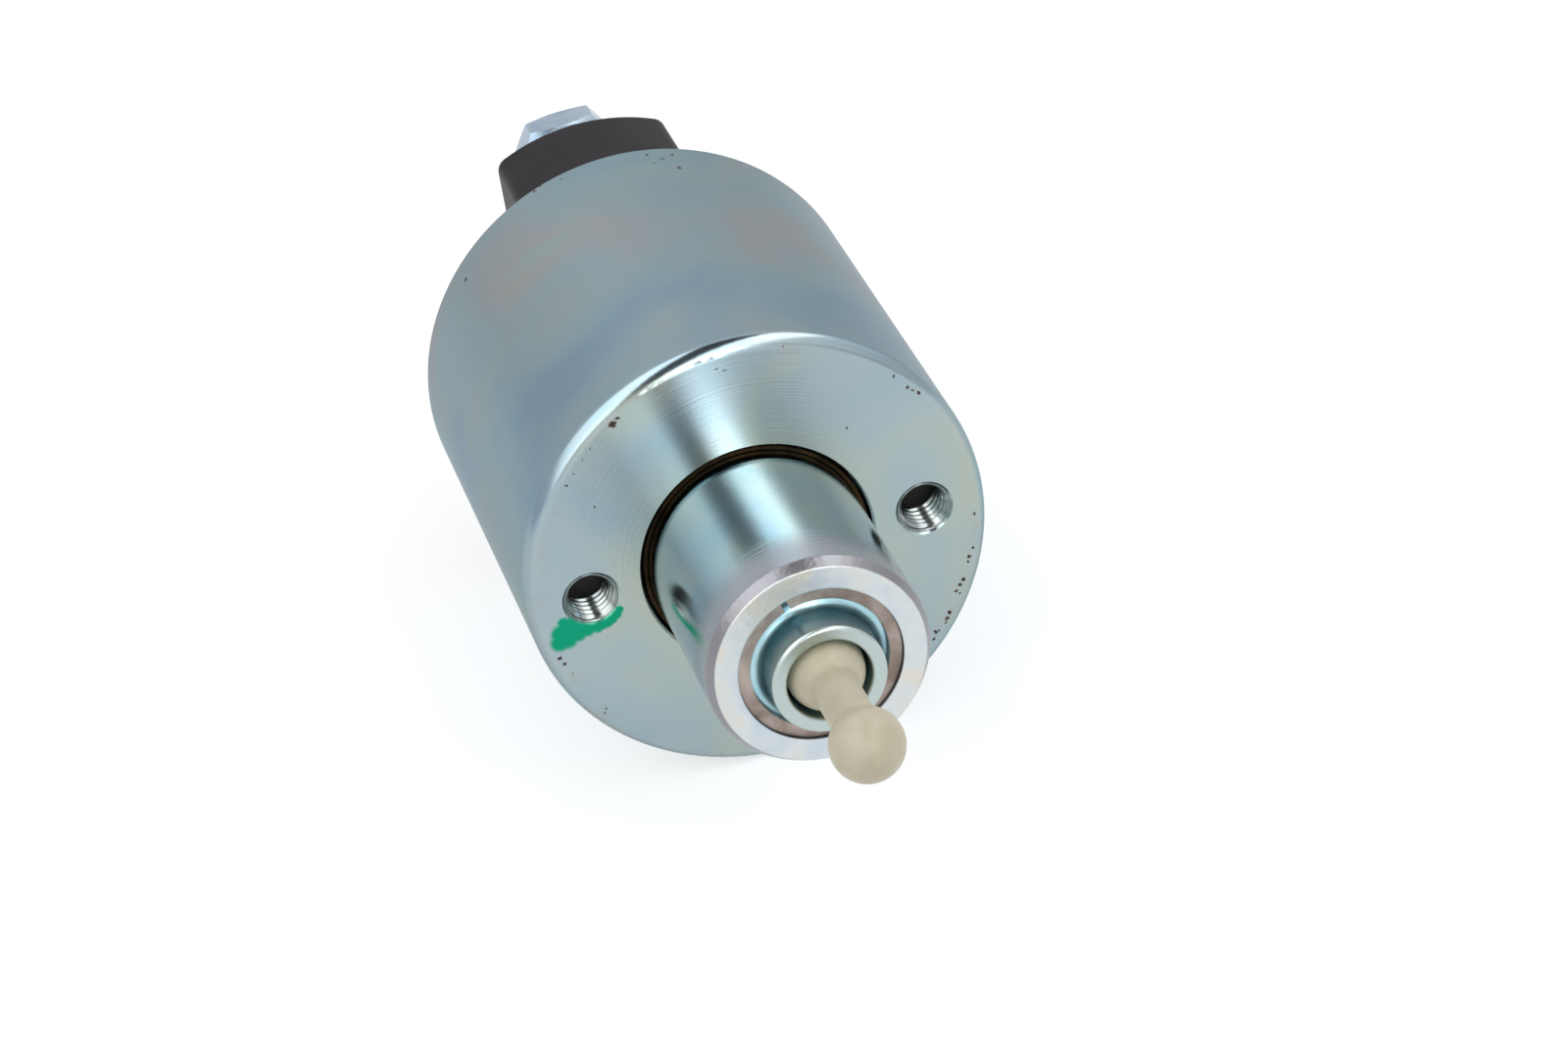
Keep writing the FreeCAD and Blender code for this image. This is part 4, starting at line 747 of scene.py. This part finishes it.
# World: white to the camera. To the metal it is a studio: a bright strip and a dark gap run
# overhead from front to back, a little askew, and the wall behind the object is brighter high
# up. A direction is known by two measures. Across is the cotangent of the angle, round the
# solenoid's axis, at which the turned face shows it. Level falls from 1, in the direction that
# the flat face mirrors, as the metal tilts away from that face. Each profile lists how bright
# the studio is at each place across.
MIRRORED = (0.16, -0.8476, -0.5059)
ASKEW = 0.33
BRIGHTEST = 8.0
# What the flat face mirrors: a bright strip with a dark gap beside it, between dimmer walls.
IN_FRONT = [
    (-1.7, 0.68), (-1.02, 0.8), (-0.93, 1.1), (-0.74, 1.1), (-0.65, 0.85), (-0.57, 0.75),
    (-0.52, 0.42), (-0.42, 0.32), (-0.36, 0.9), (-0.34, 8.0), (-0.07, 8.0), (-0.04, 0.95),
    (0.2, 0.78), (0.24, 1.0), (0.42, 0.85), (0.75, 0.7),
]
# What metal mirrors that is tilted further, such as the rim and the plunger's side.
OVERHEAD = [
    (-1.75, 0.9), (-1.45, 2.2), (-0.85, 2.9), (-0.73, 2.9), (-0.69, 0.1), (-0.38, 0.1),
    (-0.34, 3.4), (-0.06, 3.0), (0.02, 1.3), (0.75, 0.9),
]
ACROSS_FROM = -2.0
ACROSS_TO = 1.0
world = bpy.data.worlds.new("studio")
scene.world = world
world.use_nodes = True
tree = world.node_tree
tree.nodes.clear()
towards = add(tree, "ShaderNodeTexCoord")
split = add(tree, "ShaderNodeSeparateXYZ", links={0: towards.outputs["Generated"]})
sideways = add(tree, "ShaderNodeMath", {"operation": "SUBTRACT"},
               {0: split.outputs[0], 1: MIRRORED[0]})
upwards = add(tree, "ShaderNodeMath", {}, {0: split.outputs[2], 1: -MIRRORED[2]})
across = add(tree, "ShaderNodeMath", {"operation": "DIVIDE"},
             {0: sideways.outputs[0], 1: upwards.outputs[0]})
level = add(tree, "ShaderNodeVectorMath", {"operation": "DOT_PRODUCT"},
            {0: towards.outputs["Generated"], 1: MIRRORED})
turned_by = add(tree, "ShaderNodeMath", {"operation": "MULTIPLY_ADD"},
                {0: level.outputs["Value"], 1: ASKEW, 2: -ASKEW})
askew = add(tree, "ShaderNodeMath", {}, {0: across.outputs[0], 1: turned_by.outputs[0]})
ramp_place = add(tree, "ShaderNodeMapRange",
                 links={"Value": askew.outputs[0], "From Min": ACROSS_FROM,
                        "From Max": ACROSS_TO})
strips = []
for profile in (IN_FRONT, OVERHEAD):
    stops = [((place - ACROSS_FROM) / (ACROSS_TO - ACROSS_FROM),
              (*(3 * (light / BRIGHTEST,)), 1.0)) for place, light in profile]
    strips.append(add(tree, "ShaderNodeValToRGB", {"stops": stops},
                      {"Fac": ramp_place.outputs[0]}))
raised = add(tree, "ShaderNodeMapRange", {"interpolation_type": "SMOOTHSTEP"},
             {"Value": level.outputs["Value"], "From Min": 0.68, "From Max": 0.48})
ceiling = add(tree, "ShaderNodeMix", {"data_type": "RGBA"},
              {0: raised.outputs[0], 6: strips[0].outputs["Color"],
               7: strips[1].outputs["Color"]})
ceiling_light = add(tree, "ShaderNodeMath", {"operation": "MULTIPLY"},
                    {0: ceiling.outputs[2], 1: BRIGHTEST})
wall_light = add(tree, "ShaderNodeMapRange", {"interpolation_type": "SMOOTHSTEP"},
                 {"Value": split.outputs[2], "From Min": 0.38, "From Max": 0.53,
                  "To Min": 0.88, "To Max": 1.04})
ahead = add(tree, "ShaderNodeMapRange", {"interpolation_type": "SMOOTHSTEP"},
            {"Value": split.outputs[1], "From Min": 0.6, "From Max": 0.3})
room_light = add(tree, "ShaderNodeMix", {"data_type": "FLOAT"},
                 {0: ahead.outputs[0], 2: wall_light.outputs[0], 3: ceiling_light.outputs[0]})
path = add(tree, "ShaderNodeLightPath")
fill = add(tree, "ShaderNodeBackground", links={"Color": linear("#f4f6f8"), "Strength": 0.6})
WHITE = linear("#ffffff")
room = add(tree, "ShaderNodeBackground",
           links={"Color": WHITE, "Strength": room_light.outputs[0]})
backdrop = add(tree, "ShaderNodeBackground", links={"Color": WHITE, "Strength": 1.0})
shiny = add(tree, "ShaderNodeMath", {"operation": "ADD", "use_clamp": True},
            {0: path.outputs["Is Glossy Ray"], 1: path.outputs["Is Transmission Ray"]})
for_metal = add(tree, "ShaderNodeMixShader",
                links={0: shiny.outputs[0], 1: fill.outputs[0], 2: room.outputs[0]})
for_camera = add(tree, "ShaderNodeMixShader",
                 links={0: path.outputs["Is Camera Ray"], 1: for_metal.outputs[0],
                        2: backdrop.outputs[0]})
add(tree, "ShaderNodeOutputWorld", links={"Surface": for_camera.outputs[0]})


def soft_box(name, place, width, height, strength):
    """A studio lamp aimed at the mounting face. The metal shows the world's strips instead."""
    lamp = bpy.data.lights.new(name, "AREA")
    lamp.shape = "RECTANGLE"
    lamp.size = width
    lamp.size_y = height
    lamp.energy = strength * math.pi * width * height
    holder = bpy.data.objects.new(name, lamp)
    scene.collection.objects.link(holder)
    holder.visible_glossy = False
    holder.location = place
    holder.rotation_euler = (-Vector(place)).to_track_quat("-Z", "Y").to_euler()


soft_box("left_box", (-0.55, -0.35, 0.6), 0.5, 0.5, 1.6)
soft_box("right_box", (0.5, -0.45, 0.55), 0.55, 0.5, 1.6)

# Camera solved from the photograph's circles, in the part's own frame.
CAMERA_PLACE = (-0.0870, -0.47946, 0.28923)
CAMERA_RIGHT = (0.9525, -0.2671, -0.1464)
CAMERA_FORWARD = (0.16, 0.8476, -0.5059)
lens = bpy.data.cameras.new("camera")
lens.lens = 113.57
lens.sensor_width = 36.0
lens.clip_start = 0.01
lens.clip_end = 50.0
camera = bpy.data.objects.new("camera", lens)
scene.collection.objects.link(camera)
right = Vector(CAMERA_RIGHT).normalized()
forward = Vector(CAMERA_FORWARD).normalized()
upward = right.cross(forward)
axes = Matrix((right, upward, -forward)).transposed()
camera.matrix_world = Matrix.Translation(CAMERA_PLACE) @ axes.to_4x4()
scene.camera = camera

bpy.context.view_layer.update()
